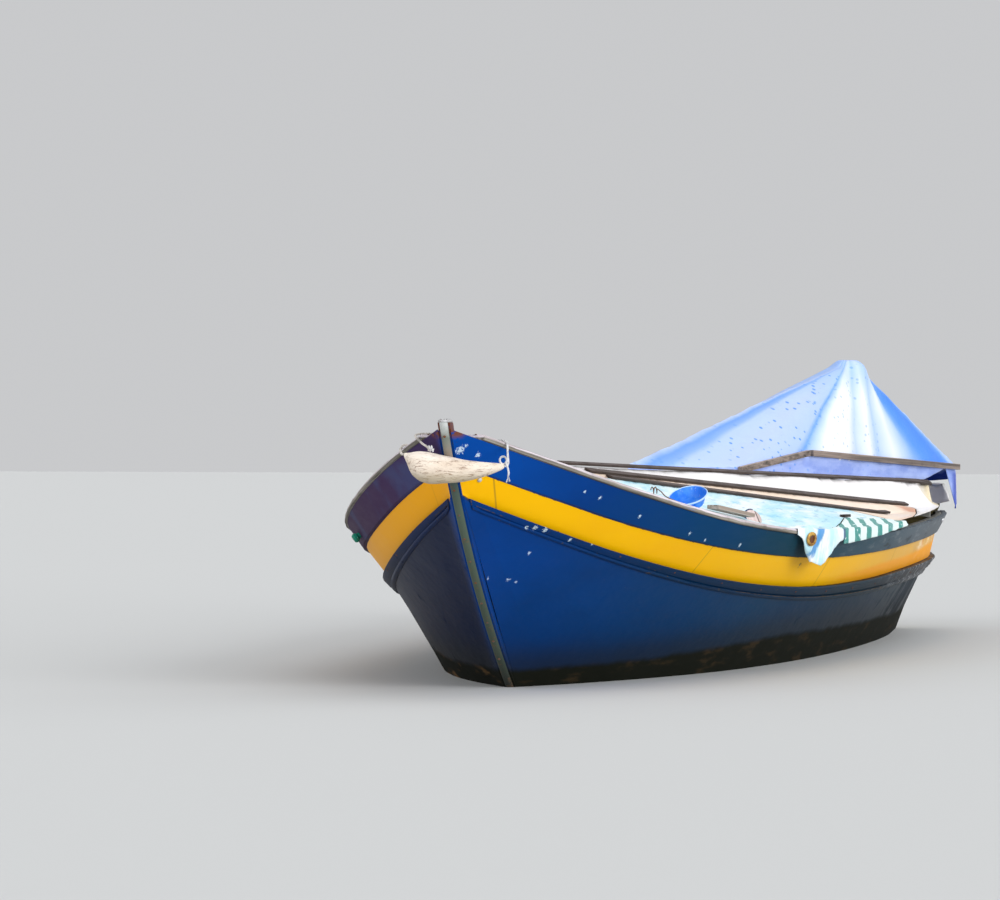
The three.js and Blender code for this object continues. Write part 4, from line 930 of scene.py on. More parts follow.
def softened(shape, width, angle=38.0):
    """Rounds the sharp edges that have room for it and marks the rounds in the face value edge."""
    bmesh.ops.dissolve_limit(shape, angle_limit=math.radians(FLAT_WITHIN), verts=shape.verts,
                             edges=shape.edges)

    def sharp(edge):
        return (edge.is_manifold and edge.calc_face_angle(0.0) > math.radians(angle)
                and edge.calc_length() > WELD)

    def roomy(edge):
        room = ROOM_FOR_ROUND * width
        return all(face.calc_area() / edge.calc_length() >= room for face in edge.link_faces)

    edges = [edge for edge in shape.edges if sharp(edge) and roomy(edge)]
    mark = shape.faces.layers.float.new("edge")
    made = bmesh.ops.bevel(shape, geom=edges, offset=width, offset_type="OFFSET", segments=2, profile=0.6,
                           affect="EDGES", clamp_overlap=False)
    for face in made["faces"]:
        if face.is_valid:
            face[mark] = 1.0


def path_of(shape):
    """The middle of each cross-section of a long piece: places along X, middles, and run along it."""
    rings = {}
    for vert in shape.verts:
        rings.setdefault(round(vert.co.x, 3), []).append(vert.co)
    xs = np.array(sorted(rings))
    middles = np.array([np.mean([tuple(co) for co in rings[x]], 0) for x in xs])
    steps = np.linalg.norm(np.diff(middles, axis=0), axis=1)
    return xs, middles, np.concatenate([[0], np.cumsum(steps)])


def lay_grain(shape, path, seed):
    """Gives each corner its place along and across the piece, for the grain."""
    xs, middles, run = path
    layer = shape.verts.layers.float_vector.new("along")
    for vert in shape.verts:
        x, y, z = vert.co
        middle_y, middle_z = (np.interp(x, xs, middles[:, axis]) for axis in (1, 2))
        vert[layer] = (np.interp(x, xs, run) + GRAIN_SHIFT * seed, y - middle_y + seed, z - middle_z)


def upright_grain(shape, seed):
    """For pieces that stand or lie across: the grain runs along the longest side."""
    points = np.array([tuple(v.co) for v in shape.verts])
    middle = points.mean(0)
    order = np.argsort(-(points.max(0) - points.min(0)))
    layer = shape.verts.layers.float_vector.new("along")
    for vert in shape.verts:
        away = np.array(vert.co) - middle
        vert[layer] = tuple(away[order] + np.array([GRAIN_SHIFT * seed, seed, 0]))


def dressed(node, material, width, grain=None, seed=0, angle=38.0):
    """The CAD node's shape with soft edges and a finish."""
    shape = merged(node)
    path = path_of(shape) if grain == "path" else None
    softened(shape, width, angle)
    if grain == "path":
        lay_grain(shape, path, seed)
    elif grain:
        upright_grain(shape, seed)
    mark_top(shape)
    return piece(f"{node}_finished", shape, material, [node])


def turned(profile, sides=40):
    """A turned body from (radius, height) pairs, upwards along its outside; 0 closes it at its middle."""
    shape = bmesh.new()
    loops = []
    for radius, height in profile:
        if radius == 0:
            loops.append([shape.verts.new((0, 0, height))])
        else:
            ways = (2 * math.pi * i / sides for i in range(sides))
            ring = [(radius * math.cos(a), radius * math.sin(a), height) for a in ways]
            loops.append([shape.verts.new(point) for point in ring])
    for low, high in zip(loops, loops[1:]):
        for i in range(sides):
            j = (i + 1) % sides
            ring = [low[i % len(low)], low[j % len(low)], high[j % len(high)], high[i % len(high)]]
            shape.faces.new(list(dict.fromkeys(ring)))
    bmesh.ops.remove_doubles(shape, verts=shape.verts, dist=1e-6)
    bmesh.ops.recalc_face_normals(shape, faces=shape.faces)
    return shape


def set_down(shape, place, turn):
    """Turns a body and moves it to a place."""
    bmesh.ops.transform(shape, matrix=Matrix.Translation(place) @ turn, verts=shape.verts)


def stood(shape, place, up):
    """Stands a body on a place, with its Z turned to up."""
    set_down(shape, place, Vector(up).normalized().to_track_quat("Z", "X").to_matrix().to_4x4())
    return shape


def eased(points, step=0.004):
    """A smooth line through points, with its corners rounded."""
    points = [Vector(p) for p in points]
    line = []
    for i in range(len(points) - 1):
        a, b = points[max(i - 1, 0)], points[i]
        c, d = points[i + 1], points[min(i + 2, len(points) - 1)]
        count = max(1, int((c - b).length / step))
        for t in (k / count for k in range(count)):
            bend, twist = 2 * a - 5 * b + 4 * c - d, 3 * b - a - 3 * c + d
            line.append(0.5 * (2 * b + (c - a) * t + bend * t ** 2 + twist * t ** 3))
    return [*line, points[-1]]


def tube(name, points, radius, material):
    """A round rod along a smooth line."""
    curve = bpy.data.curves.new(name, "CURVE")
    curve.dimensions = "3D"
    curve.bevel_depth = radius
    curve.bevel_resolution = 2
    curve.use_fill_caps = True
    line = eased(points, 0.006)
    spline = curve.splines.new("POLY")
    spline.points.add(len(line) - 1)
    for point, place in zip(spline.points, line):
        point.co = (*place, 1)
    source = bpy.data.objects.new(name, curve)
    mesh = bpy.data.meshes.new_from_object(source)
    bpy.data.objects.remove(source)
    mesh.name = name
    settle(bpy.data.objects.new(name, mesh), material, smooth=50.0)


# Repeats by Geometry Nodes

def realized(graph, shape, material, target):
    """Ends a Geometry Nodes tree: real geometry, with its material."""
    real = graph.add("GeometryNodeRealizeInstances", {0: shape}).outputs[0]
    done = graph.add("GeometryNodeSetMaterial", {"Geometry": real, "Material": material}).outputs[0]
    graph.put(target[0], done)


def fastener_tree():
    """Sets a small head on each point of a line, turned to face out of the surface."""
    graph, source, target = new_tree("fastenings along a line", "GeometryNodeTree", [
        ("Line", GEOMETRY, None), ("Head", OBJECT, None), ("Spacing", VALUE, 0.2), ("Size", VALUE, 0.005),
        ("Seed", WHOLE, 1), ("Material", MATERIAL, None)], [("Heads", GEOMETRY)])
    curve = graph.add("GeometryNodeMeshToCurve", {0: source["Line"]}).outputs[0]
    spaced = {"Curve": curve, "Length": source["Spacing"]}
    points = graph.add("GeometryNodeResampleCurve", spaced, mode="LENGTH").outputs[0]
    facing = graph.add("GeometryNodeInputNamedAttribute", {"Name": "facing"}, data_type="FLOAT_VECTOR")
    turn = graph.add("FunctionNodeAlignRotationToVector", {"Vector": facing.outputs[0]}, axis="Z").outputs[0]
    smallest, largest = 0.8, 1.15
    spread = graph.add("FunctionNodeRandomValue", {2: smallest, 3: largest, "Seed": source["Seed"]},
                       data_type="FLOAT")
    size = graph.product(spread.outputs[1], source["Size"])
    head = graph.add("GeometryNodeObjectInfo", {"Object": source["Head"]}).outputs["Geometry"]
    instances = {"Points": points, "Instance": head, "Rotation": turn, "Scale": size}
    set_on = graph.add("GeometryNodeInstanceOnPoints", instances).outputs[0]
    realized(graph, set_on, source["Material"], target)


STRANDS = 3
# A strand's radius and its distance from the middle of the rope, in rope diameters
STRAND_RADIUS, STRAND_AWAY = 0.27, 0.24


def rope_tree():
    """Lays three strands round a line."""
    graph, source, target = new_tree("laid rope", "GeometryNodeTree", [
        ("Line", GEOMETRY, None), ("Diameter", VALUE, 0.01), ("Lay", VALUE, 0.04),
        ("Material", MATERIAL, None)], [("Rope", GEOMETRY)])
    curve = graph.add("GeometryNodeMeshToCurve", {0: source["Line"]}).outputs[0]
    spaced = {"Curve": curve, "Length": graph.product(source["Lay"], 0.1)}
    curve = graph.add("GeometryNodeResampleCurve", spaced, mode="LENGTH").outputs[0]
    run = graph.add("GeometryNodeSplineParameter").outputs["Length"]
    tilt = graph.product(graph.math("DIVIDE", run, source["Lay"]), 2 * math.pi)
    twisted = graph.add("GeometryNodeSetCurveTilt", {"Curve": curve, "Tilt": tilt}).outputs[0]
    ring = graph.add("GeometryNodeCurvePrimitiveCircle", {"Resolution": 6, "Radius": 1.0}).outputs[0]
    radius = graph.product(source["Diameter"], STRAND_RADIUS)
    size = graph.add("ShaderNodeCombineXYZ", {0: radius, 1: radius, 2: radius}).outputs[0]
    strand = graph.add("GeometryNodeTransform", {"Geometry": ring, "Scale": size}).outputs[0]
    joined = graph.add("GeometryNodeJoinGeometry")
    away = graph.product(source["Diameter"], STRAND_AWAY)
    for turn in range(STRANDS):
        angle = 2 * math.pi * turn / STRANDS
        sideways = {0: graph.product(away, math.cos(angle)), 1: graph.product(away, math.sin(angle))}
        shift = graph.add("ShaderNodeCombineXYZ", sideways).outputs[0]
        set_off = graph.add("GeometryNodeTransform", {"Geometry": strand, "Translation": shift}).outputs[0]
        graph.put(joined.inputs[0], set_off)
    outline = {"Curve": twisted, "Profile Curve": joined.outputs[0], "Fill Caps": True}
    skin = graph.add("GeometryNodeCurveToMesh", outline).outputs[0]
    realized(graph, skin, source["Material"], target)


def line_object(name, lines, facing=None):
    """Open lines of points as a mesh of edges, with the way each point faces."""
    points = [point for line in lines for point in line]
    edges, start = [], 0
    for line in lines:
        edges += [(start + i, start + i + 1) for i in range(len(line) - 1)]
        start += len(line)
    mesh = bpy.data.meshes.new(name)
    mesh.from_pydata([tuple(p) for p in points], edges, [])
    if facing:
        out = mesh.attributes.new("facing", "FLOAT_VECTOR", "POINT")
        out.data.foreach_set("vector", [value for line in facing for way in line for value in way])
    made = bpy.data.objects.new(name, mesh)
    bpy.context.scene.collection.objects.link(made)
    return made


def grown(name, source, tree, values, smooth=40.0, replaced=()):
    """Runs a Geometry Nodes tree on source and keeps the result as a plain mesh."""
    modifier = source.modifiers.new(tree.name, "NODES")
    modifier.node_group = tree
    ids = {item.name: item.identifier for item in tree.interface.items_tree if item.in_out == "INPUT"}
    for label, value in values.items():
        modifier[ids[label]] = value
    source.update_tag()
    depsgraph = bpy.context.evaluated_depsgraph_get()
    mesh = bpy.data.meshes.new_from_object(source.evaluated_get(depsgraph), depsgraph=depsgraph)
    mesh.name = name
    source.modifiers.remove(modifier)
    bpy.data.objects.remove(source)
    settle(bpy.data.objects.new(name, mesh), None, replaced, smooth)


def laid_rope(name, lines, diameter, lay, material, replaced=()):
    """A three-strand rope along one or more lines of points in metres."""
    source = line_object(name, [eased(line) for line in lines])
    values = {"Diameter": diameter, "Lay": lay, "Material": bpy.data.materials[material]}
    grown(f"{name}_laid", source, bpy.data.node_groups["laid rope"], values, 60.0, replaced)


HEAD_RINGS = ((1.0, -0.5), (1.0, 0.08), (0.86, 0.30), (0.5, 0.46), (0, 0.5))  # radius and height


def head_shape(name):
    """A low domed head of radius 1, whose foot goes below the surface that it stands on."""
    shape = turned(HEAD_RINGS, 10)
    shape.faces.new([vert for vert in reversed(shape.verts[:10])])
    bmesh.ops.recalc_face_normals(shape, faces=shape.faces)
    mesh = bpy.data.meshes.new(name)
    shape.to_mesh(mesh)
    shape.free()
    made = bpy.data.objects.new(name, mesh)
    bpy.context.scene.collection.objects.link(made)
    return made


def fastenings(name, line, ways, spacing, size, material, seed=1):
    """Heads along a line of points, each facing its own way."""
    head = head_shape(f"{name}_head")
    source = line_object(name, [line], [ways])
    tree = bpy.data.node_groups["fastenings along a line"]
    values = {"Head": head, "Spacing": spacing, "Size": size, "Seed": seed,
              "Material": bpy.data.materials[material]}
    grown(f"{name}_set", source, tree, values)
    bpy.data.objects.remove(head)


# Hull

HULL_FINISH = {
    "side_plank": ("topside paint", "blue_hull"),
    "upper_strake": ("strake paint", "blue_strake"),
    "yellow_strake": ("yellow paint", "yellow_strake"),
    "wale": ("wale paint", "wale_paint"),
}


def dress_hull():
    for kind, (material, slot) in HULL_FINISH.items():
        for side in SIDES:
            width = sizes().edge * (0.8 if kind == "wale" else 1.0)
            dressed(f"{kind}_{side}", material, width)
    dressed("bottom_planking", "topside paint", sizes().edge)


def dress_stem():
    dressed("stem_post", "topside paint", sizes().edge)
    dressed("stem_band", "stem iron", 0.0015)
    dressed("stem_head", "stem cap", 0.003, "upright", 3)


def dress_rails():
    for i, side in enumerate(SIDES):
        dressed(f"cap_rail_{side}", "grey rail", sizes().batten_edge, "path", i, 30.0)
        dressed(f"inwale_{side}", "inside paint", sizes().edge, "path", 3 + i)
        dressed(f"riser_{side}", "inside paint", sizes().edge, "path", 5 + i)
        dressed(f"quarter_strap_{side}", "rusty iron", 0.002, "upright")
    dressed("transom", "bare wood", sizes().edge, "upright", 4)


INSIDE = ("frame_", "floorboard_", "thwart_", "stern_bench", "foredeck", "deck_beam", "cover_bearer_",
          "tent_pole", "peg")
BARE = ("floorboard_", "thwart_", "stern_bench", "foredeck")


def dress_inside():
    for i, node in enumerate(n for n in NODES if n.startswith(INSIDE)):
        bare = node.startswith(BARE)
        material = "board wood" if bare else "inside paint"
        grain = "path" if node.startswith(("floorboard_", "foredeck")) else "upright"
        dressed(node, material, 0.004, grain, i)


def dress_battens():
    for i, node in enumerate(n for n in NODES if "batten" in n):
        grain = "upright" if node == "tent_batten_fore" else "path"
        material = "tent batten wood" if node.startswith("tent") else "batten wood"
        dressed(node, material, sizes().batten_edge, grain, i, 30.0)


# Sheets

def outer_skin(node, facing):
    """The side of a closed thin node that faces the sky, as an open sheet."""
    shape = merged(node)
    shape.normal_update()
    bmesh.ops.delete(shape, geom=[f for f in shape.faces if not facing(f)], context="FACES")
    bmesh.ops.delete(shape, geom=[v for v in shape.verts if not v.link_faces], context="VERTS")
    return shape


def looks_up(face):
    """True for the faces of a cover that look at the sky or hang at its outside."""
    centre = face.calc_center_median()
    away = Vector((0.15 * centre.x, centre.y, centre.z - 0.35))
    return face.normal.z > -0.3 and face.normal.dot(away) > 0.02


def seen_from_outside(node, middle):
    """True for faces whose way out meets nothing of the same node and leads away from its middle."""
    tree = tree_of(node)

    def test(face):
        centre = face.calc_center_median()
        hit = tree.ray_cast(centre + face.normal * 1e-3, face.normal)[0]
        return hit is None and face.normal.dot(centre - middle) > 0
    return test


def cut_up(shape, steps):
    """Cuts a sheet along evenly spaced planes square to each axis."""
    for axis, step in enumerate(steps):
        if not step:
            continue
        values = [v.co[axis] for v in shape.verts]
        low, high = min(values), max(values)
        normal = Vector([1.0 if i == axis else 0.0 for i in range(3)])
        count = int((high - low) / step)
        for i in range(1, count + 1):
            place = normal * (low + i * step - step * 0.37)
            geometry = shape.verts[:] + shape.edges[:] + shape.faces[:]
            bmesh.ops.bisect_plane(shape, geom=geometry, dist=1e-5, plane_co=place, plane_no=normal)


def relaxed(shape, rounds, keep):
    """Smooths a sheet but for the corners that keep holds."""
    loose = [v for v in shape.verts if not keep(v)]
    for _ in range(rounds):
        bmesh.ops.smooth_vert(shape, verts=loose, factor=0.5, use_axis_x=True, use_axis_y=True,
                              use_axis_z=True)


def moved(shape, distance):
    """Moves each corner of a sheet along its own way out."""
    shape.normal_update()
    shifts = [(v, v.normal.copy() * distance(v)) for v in shape.verts]
    for vert, shift in shifts:
        vert.co += shift


def rim_distance(shape):
    """How far each corner of a sheet is from its rim."""
    rim = [v.co.copy() for v in shape.verts if v.is_boundary]
    tree = KDTree(len(rim))
    for i, co in enumerate(rim):
        tree.insert(co, i)
    tree.balance()
    return {v.index: tree.find(v.co)[2] for v in shape.verts}


def value_layer(shape, name, value):
    layer = shape.verts.layers.float.new(name)
    for vert in shape.verts:
        vert[layer] = value(vert)


def cloth(name, node, shape, thickness, material):
    """Gives a sheet its thickness and rides it on the boat."""
    area = sum(f.calc_area() for f in shape.faces)
    made = piece(name, shape, material, [node], 50.0)
    wall = made.modifiers.new("thickness", "SOLIDIFY")
    wall.thickness = thickness
    wall.offset = -1.0


BEARER_X = (-2.0, -0.8, 0.4)  # where the covers' bearers stand


def cover_wave(seed, sag, crease):
    """How a cover lies: it hangs between its bearers and creases a little everywhere."""
    def height(vert, rim):
        x, y, z = vert.co
        room = min(1.0, rim / 0.06)
        nearest = min(abs(x - place) for place in BEARER_X)
        hang = -sag * min(1.0, nearest / 0.5) ** 1.5
        swell = noise.noise(Vector((x * 1.3 + seed, y * 3.0, z * 3.0)))
        fine = noise.noise(Vector((x * 5.0 + seed, y * 14.0, z * 14.0)))
        return room * (hang + crease * (0.8 * swell + 0.5 * fine))
    return height


# Each cover's finish, slot, seed, flat size and steps of its corners
COVERS = {
    "cover_white": ("white cover", "white_sheet", 0.0, (6.6, 2.4), (0.04, 0.03, 0.0)),
    "cover_salmon": ("salmon cover", "salmon_sheet", 7.0, (4.9, 0.3), (0.03, 0.02, 0.0)),
    "cover_cyan": ("cyan cover", "cyan_sheet", 13.0, (3.6, 0.5), (0.03, 0.02, 0.0)),
}

# The crumpled aft ends: their middle in X and Y, and how far they reach
COVER_ENDS = {"cover_white": ((-3.05, 0.98), 0.45), "cover_salmon": ((-1.75, 1.02), 0.15)}


def aft_end(node, place):
    """1 at a cover's crumpled aft end, falling to 0 away from it."""
    if node not in COVER_ENDS:
        return 0.0
    (x, y), reach = COVER_ENDS[node]
    return max(0.0, 1 - math.hypot(0.7 * (place.x - x), place.y - y) / reach)


def dress_covers():
    for node, (material, slot, seed, cut, steps) in COVERS.items():
        shape = outer_skin(node, looks_up if node == "cover_white" else lambda face: face.normal.z > 0.12)
        cut_up(shape, steps)
        rim = rim_distance(shape)
        ends = {vert.index: aft_end(node, vert.co) for vert in shape.verts}
        height = cover_wave(seed, sizes().sag if node == "cover_white" else 0.3 * sizes().sag, sizes().crease)

        def lie(vert):
            near = rim[vert.index]
            crumple = noise.noise(vert.co * 16.0) + 0.6 * noise.noise(vert.co * 37.0)
            return height(vert, near) + 0.010 * ends[vert.index] * crumple * min(1.0, near / 0.03)
        moved(shape, lie)
        value_layer(shape, "hem", lambda vert: max(0.0, 1 - rim[vert.index] / 0.02))
        value_layer(shape, "end", lambda vert: ends[vert.index])
        cloth(f"{node}_cloth", node, shape, sizes().cover, material)


CLOTH_THICKNESS, TENT_THICKNESS = 0.0016, 0.002
CLOTHS_MIDDLE = Vector((0.5, 0.9, 0.6))  # inside both cloths over the gunwale
EYELET_AT = (4545, 979, 560)  # middle of the flap's ring, in millimetres
EYELET_FACES = Vector((0.52, 0.85, -0.12)).normalized()  # the way that the flap's ring looks


def eyelet_fold(place):
    """How far the flap stands out round its ring, where a fold turns it towards the bow."""
    middle = placed(*EYELET_AT)
    run = place.x - middle.x
    near = math.exp(-((run / 0.048) ** 2) - ((place.z - middle.z) / 0.075) ** 2)
    return (0.010 - 0.40 * run) * near


def dress_cloths():
    for node, material, slot, seed, cut in (
            ("cloth_banded", "banded cloth", "banded_cloth", 21.0, (1.35, 0.32)),
            ("cover_flap", "flap cloth", "cyan_sheet", 34.0, (0.7, 0.35))):
        shape = outer_skin(node, seen_from_outside(node, CLOTHS_MIDDLE))
        cut_up(shape, (0.012, 0.014, 0.014))
        rim = rim_distance(shape)
        turned_out = eyelet_fold if node == "cover_flap" else lambda place: 0.0

        def crinkle(vert):
            x, y, z = vert.co
            fold = noise.noise(Vector((x * 22 + seed, y * 7, z * 7)))
            fine = noise.noise(Vector((x * 60 + seed, y * 40, z * 40)))
            return 0.004 * fold + 0.0015 * fine + 0.003 + turned_out(vert.co)
        moved(shape, crinkle)
        relaxed(shape, 2, lambda v: v.is_boundary)
        value_layer(shape, "hem", lambda vert: max(0.0, 1 - rim[vert.index] / 0.012))
        cloth(f"{node}_cloth", node, shape, CLOTH_THICKNESS, material)


TENT_HEAD = Vector((1.2 + TRANSOM_X, 0.625, 1.334 + WATERLINE))
TENT_CORNER = Vector((2.2 + TRANSOM_X, 0.600, 0.905 + WATERLINE))  # where its foot's fold starts, forward
TENT_TAIL = Vector((0.1 + TRANSOM_X, 1.000, 0.817 + WATERLINE))  # where that fold ends, aft
TENT_MIDDLE = Vector((-2.2, 0.35, 0.9))  # inside the tent
FORE_ANGLE = -0.267  # where the side to the bow ends, round the tent's head
FOLD_DEPTH = 0.022  # the value of Tent folds for which TENT_FOLDS is written

# The tent's folds: their place as a share round the head, their width and how far they stand out
TENT_FOLDS = ((-0.90, 0.07, -0.004), (-0.70, 0.12, 0.005), (-0.30, 0.18, 0.005), (-0.04, 0.04, -0.014),
              (0.15, 0.10, 0.016), (0.33, 0.04, -0.010), (0.40, 0.03, 0.008), (0.48, 0.04, -0.010),
              (0.57, 0.04, 0.010), (0.74, 0.05, -0.010), (0.90, 0.07, 0.008))


def tent_share(place):
    """Which way a place lies from the tent's head, and 1 at the tent's back.

    The way goes from -1 to 0 on the side to the bow, and from 0 to 1 on the port side.
    """
    away = place - TENT_HEAD
    turn = math.atan2(away.y, away.x)
    at_corner = math.atan2(TENT_CORNER.y - TENT_HEAD.y, TENT_CORNER.x - TENT_HEAD.x)
    at_tail = math.atan2(TENT_TAIL.y - TENT_HEAD.y, TENT_TAIL.x - TENT_HEAD.x)
    if turn < at_corner:
        share = max(-1.0, (turn - at_corner) / (at_corner - FORE_ANGLE))
        return share, 1.0 if turn < FORE_ANGLE - 0.1 else 0.0
    if turn > at_tail:
        return 1.0, 1.0
    to_corner, side = TENT_CORNER - TENT_HEAD, TENT_TAIL - TENT_CORNER
    share = -(to_corner.x * away.y - to_corner.y * away.x) / (side.x * away.y - side.y * away.x)
    return min(1.0, max(0.0, share)), 0.0


def on_skirt(face):
    """True for the faces of the tent that hang below its fold."""
    centre = face.calc_center_median()
    rise = (TENT_CORNER.z - TENT_TAIL.z) / (TENT_CORNER.x - TENT_TAIL.x)
    fold = TENT_TAIL.z + rise * (centre.x - TENT_TAIL.x) if centre.x < TENT_CORNER.x else TENT_CORNER.z
    return face.normal.z < 0.45 and centre.z < fold - 0.012


def tail_of_tent(place):
    """1 at the deep blue end of the skirt, past the port quarter."""
    if place.z >= TENT_TAIL.z - 0.03:
        return 0.0
    return min(1.0, max(0.0, (TENT_TAIL.x + 0.08 - place.x) / 0.05))


def drops_on_tent(share, back):
    """How many dark drops the tent has there: all on its side to the bow, fewer on the port side."""
    if back or share > 0.5:
        return 0.0
    return 1.0 if -0.75 < share < -0.03 else 0.45


def dress_tent():
    shape = outer_skin("tent", seen_from_outside("tent", TENT_MIDDLE))
    cut_up(shape, (0.03, 0.03, 0.03))
    bmesh.ops.remove_doubles(shape, verts=shape.verts, dist=0.001)
    shape.normal_update()
    skirt = shape.faces.layers.float.new("skirt")
    for face in shape.faces:
        face[skirt] = 1.0 if on_skirt(face) else 0.0
    rim = rim_distance(shape)
    relaxed(shape, 5, lambda v: v.is_boundary)
    shares, backs, downs = {}, {}, {}
    for vert in shape.verts:
        shares[vert.index], backs[vert.index] = tent_share(vert.co)
        downs[vert.index] = TENT_HEAD.z - vert.co.z

    def fold(vert):
        share, down = shares[vert.index], downs[vert.index]
        depth = sum(out * math.exp(-((share - at) / width) ** 2) for at, width, out in TENT_FOLDS)
        if backs[vert.index]:
            turn = math.atan2(vert.co.y - TENT_HEAD.y, vert.co.x - TENT_HEAD.x)
            depth = 0.014 * noise.noise(Vector((4 * turn, 3, down)))
        reach = min(1.0, down / 0.16) * min(1.0, rim[vert.index] / 0.12)
        small = 0.004 * noise.noise(vert.co * 6.0) - 0.003
        return reach * (depth * sizes().tent_fold / FOLD_DEPTH + small)
    moved(shape, fold)
    value_layer(shape, "share", lambda vert: shares[vert.index])
    value_layer(shape, "back", lambda vert: backs[vert.index])
    value_layer(shape, "down", lambda vert: downs[vert.index])
    value_layer(shape, "tail", lambda vert: tail_of_tent(vert.co))
    value_layer(shape, "spots", lambda vert: drops_on_tent(shares[vert.index], backs[vert.index]))
    cloth("tent_cloth", "tent", shape, TENT_THICKNESS, "tent cloth")


# Fender and its lines

def dress_fender():
    low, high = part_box("fender")
    middle = (low + high) / 2
    shape = merged("fender")
    bmesh.ops.subdivide_edges(shape, edges=shape.edges, cuts=3, use_grid_fill=True, smooth=0.35)
    for vert in shape.verts:
        away = Vector((vert.co.x - middle.x, 0, vert.co.z - middle.z))
        dent = noise.noise(Vector((vert.co.x * 9, vert.co.y * 7, vert.co.z * 9)))
        fine = noise.noise(Vector((vert.co.x * 30, vert.co.y * 16, vert.co.z * 30)))
        vert.co += away * (0.10 * dent + 0.04 * fine)
    piece("fender_body", shape, "fender skin", ["fender"], 60.0)


PEG_X, PEG_Y, PEG_REACH = 6720, -118, 20.1  # the peg's middle and how far a line's middle is from it


def round_peg(first, last, height):
    """Points round the peg in the foredeck, from one angle to another, in millimetres."""
    count = max(2, int(abs(last - first) / 20))
    turns = [math.radians(first + (last - first) * i / count) for i in range(count + 1)]
    return [(PEG_X + PEG_REACH * math.cos(a), PEG_Y + PEG_REACH * math.sin(a), height) for a in turns]


FENDER_X = 6967.6  # how far forward the lines meet the fender
PORT_LINE = [(FENDER_X, 225.2, 890), (FENDER_X, 232, 890.6), (6955.6, 238, 900), (6880, 219, 934),
             (6795, 199, 966), (6779, 194, 976), (6775, 184, 983.5), (6773, 165, 984.5),
             (6771, 135, 983.8), (6768, 118, 979), (6764, 104, 968), (6756, 80, 962), (6744, 20, 962),
             (6738, -50, 965), *round_peg(62, -190, 970)]
STARBOARD_LINE = [(FENDER_X, -163, 932), (FENDER_X - 2, -170, 934), (FENDER_X - 14, -177, 939),
                  (6850, -205, 950), (6735, -229, 955), (6722, -231, 960), (6718, -224, 966),
                  (6715, -200, 966.5), (6713, -172, 966), (6706, -152, 961), *round_peg(215, -40, 954),
                  (6790, -84, 981), (6832, -60, 1000), (6845, -64, 1009.5), (6850, -82, 1010),
                  (6852, -118, 1010), (6855, -138, 1008), (6866, -142, 1000), (6930, -102, 976),
                  (FENDER_X - 8, -72, 960), (FENDER_X, -66, 952), (FENDER_X, -65, 945.5)]
KNOT_AT = (6967, 221, 912)  # middle of the ring that the port line ends in
LASHING_AT = (6959, -70, 955)  # where the starboard line's lashing starts
KNOT_END = ((3, 10, 6), (5, 15, 18), (2, 19, 34), (-3, 20, 50), (-5, 17, 61))  # forward, out and down from it


def dress_fender_lines():
    rope = sizes().rope
    laid_rope("fender_line_port", [[placed(*p) for p in PORT_LINE]], 0.8 * rope, 0.03, "pale rope",
              ["fender_line_port"])
    laid_rope("fender_line_starboard", [[placed(*p) for p in STARBOARD_LINE]], 0.85 * rope, 0.03, "tan rope",
              ["fender_line_starboard"])
    x, y, z = KNOT_AT
    angles = [math.radians(40 + 28 * i) for i in range(14)]
    ring = [placed(x + 2 * math.sin(a), y + 13.5 * math.cos(a), z + 14.5 * math.sin(a)) for a in angles]
    end = [placed(x + ahead, y + out, z - down) for ahead, out, down in KNOT_END]
    laid_rope("fender_knot", [ring, end], 0.75 * rope, 0.022, "pale rope")
    tuft = [[placed(x - 5 + 4 * math.cos(a), y + 17 + 4 * math.sin(a), z - 61 - 2 * i),
             placed(x - 6 + 7 * math.cos(a), y + 17 + 8 * math.sin(a), z - 76 - 1.5 * i)]
            for i, a in enumerate(math.radians(51 * k) for k in range(7))]
    laid_rope("fender_knot_end", tuft, 0.0032, 0.01, "pale rope")
    x, y, z = LASHING_AT
    lashing = [placed(x, y + 1.6 * a, z + 11 * math.sin(a)) for a in np.linspace(0, 12.6, 26)]
    laid_rope("fender_lashing", [lashing], 0.55 * rope, 0.02, "pale rope")


# Things on the covers and the sides

TUB_AT, TUB_UP = (5470, 650), (0.46, -0.10, 0.88)
TUB_PROFILE = ((0, 0), (0.052, 0), (0.058, 0.003), (0.072, 0.036), (0.078, 0.038), (0.079, 0.043),
               (0.075, 0.044),
               (0.070, 0.040), (0.056, 0.008), (0.050, 0.005), (0, 0.005))
TUB_RIM = ((0.0755, 0.0425), (0.0795, 0.0395), (0.0812, 0.0432), (0.0780, 0.0464), (0.0755, 0.0425))


def dress_tub():
    foot = from_above(tree_of("cover_cyan", "cover_white"), *TUB_AT) + Vector((-0.012, 0.0, 0.004))
    piece("tub", stood(turned(TUB_PROFILE), foot, TUB_UP), "blue plastic", smooth=40.0)
    piece("tub_rim", stood(turned(TUB_RIM), foot, TUB_UP), "pale plastic", smooth=40.0)


def slotted_board(long, wide, thick, slots=()):
    """A flat board with slots cut through it, its corner at the origin, lying along X."""
    shape = bmesh.new()
    cuts = sorted({0.0, long, *(v for slot in slots for v in slot[:2])})
    rows = sorted({0.0, wide, *(v for slot in slots for v in slot[2:])})
    for x0, x1 in zip(cuts, cuts[1:]):
        for y0, y1 in zip(rows, rows[1:]):
            mx, my = (x0 + x1) / 2, (y0 + y1) / 2
            if any(a < mx < b and c < my < d for a, b, c, d in slots):
                continue
            shape.faces.new([shape.verts.new((x, y, 0)) for x, y in ((x0, y0), (x1, y0), (x1, y1), (x0, y1))])
    bmesh.ops.remove_doubles(shape, verts=shape.verts, dist=1e-5)
    made = bmesh.ops.extrude_face_region(shape, geom=shape.faces[:])
    for vert in (g for g in made["geom"] if isinstance(g, bmesh.types.BMVert)):
        vert.co.z += thick
    bmesh.ops.recalc_face_normals(shape, faces=shape.faces)
    return shape


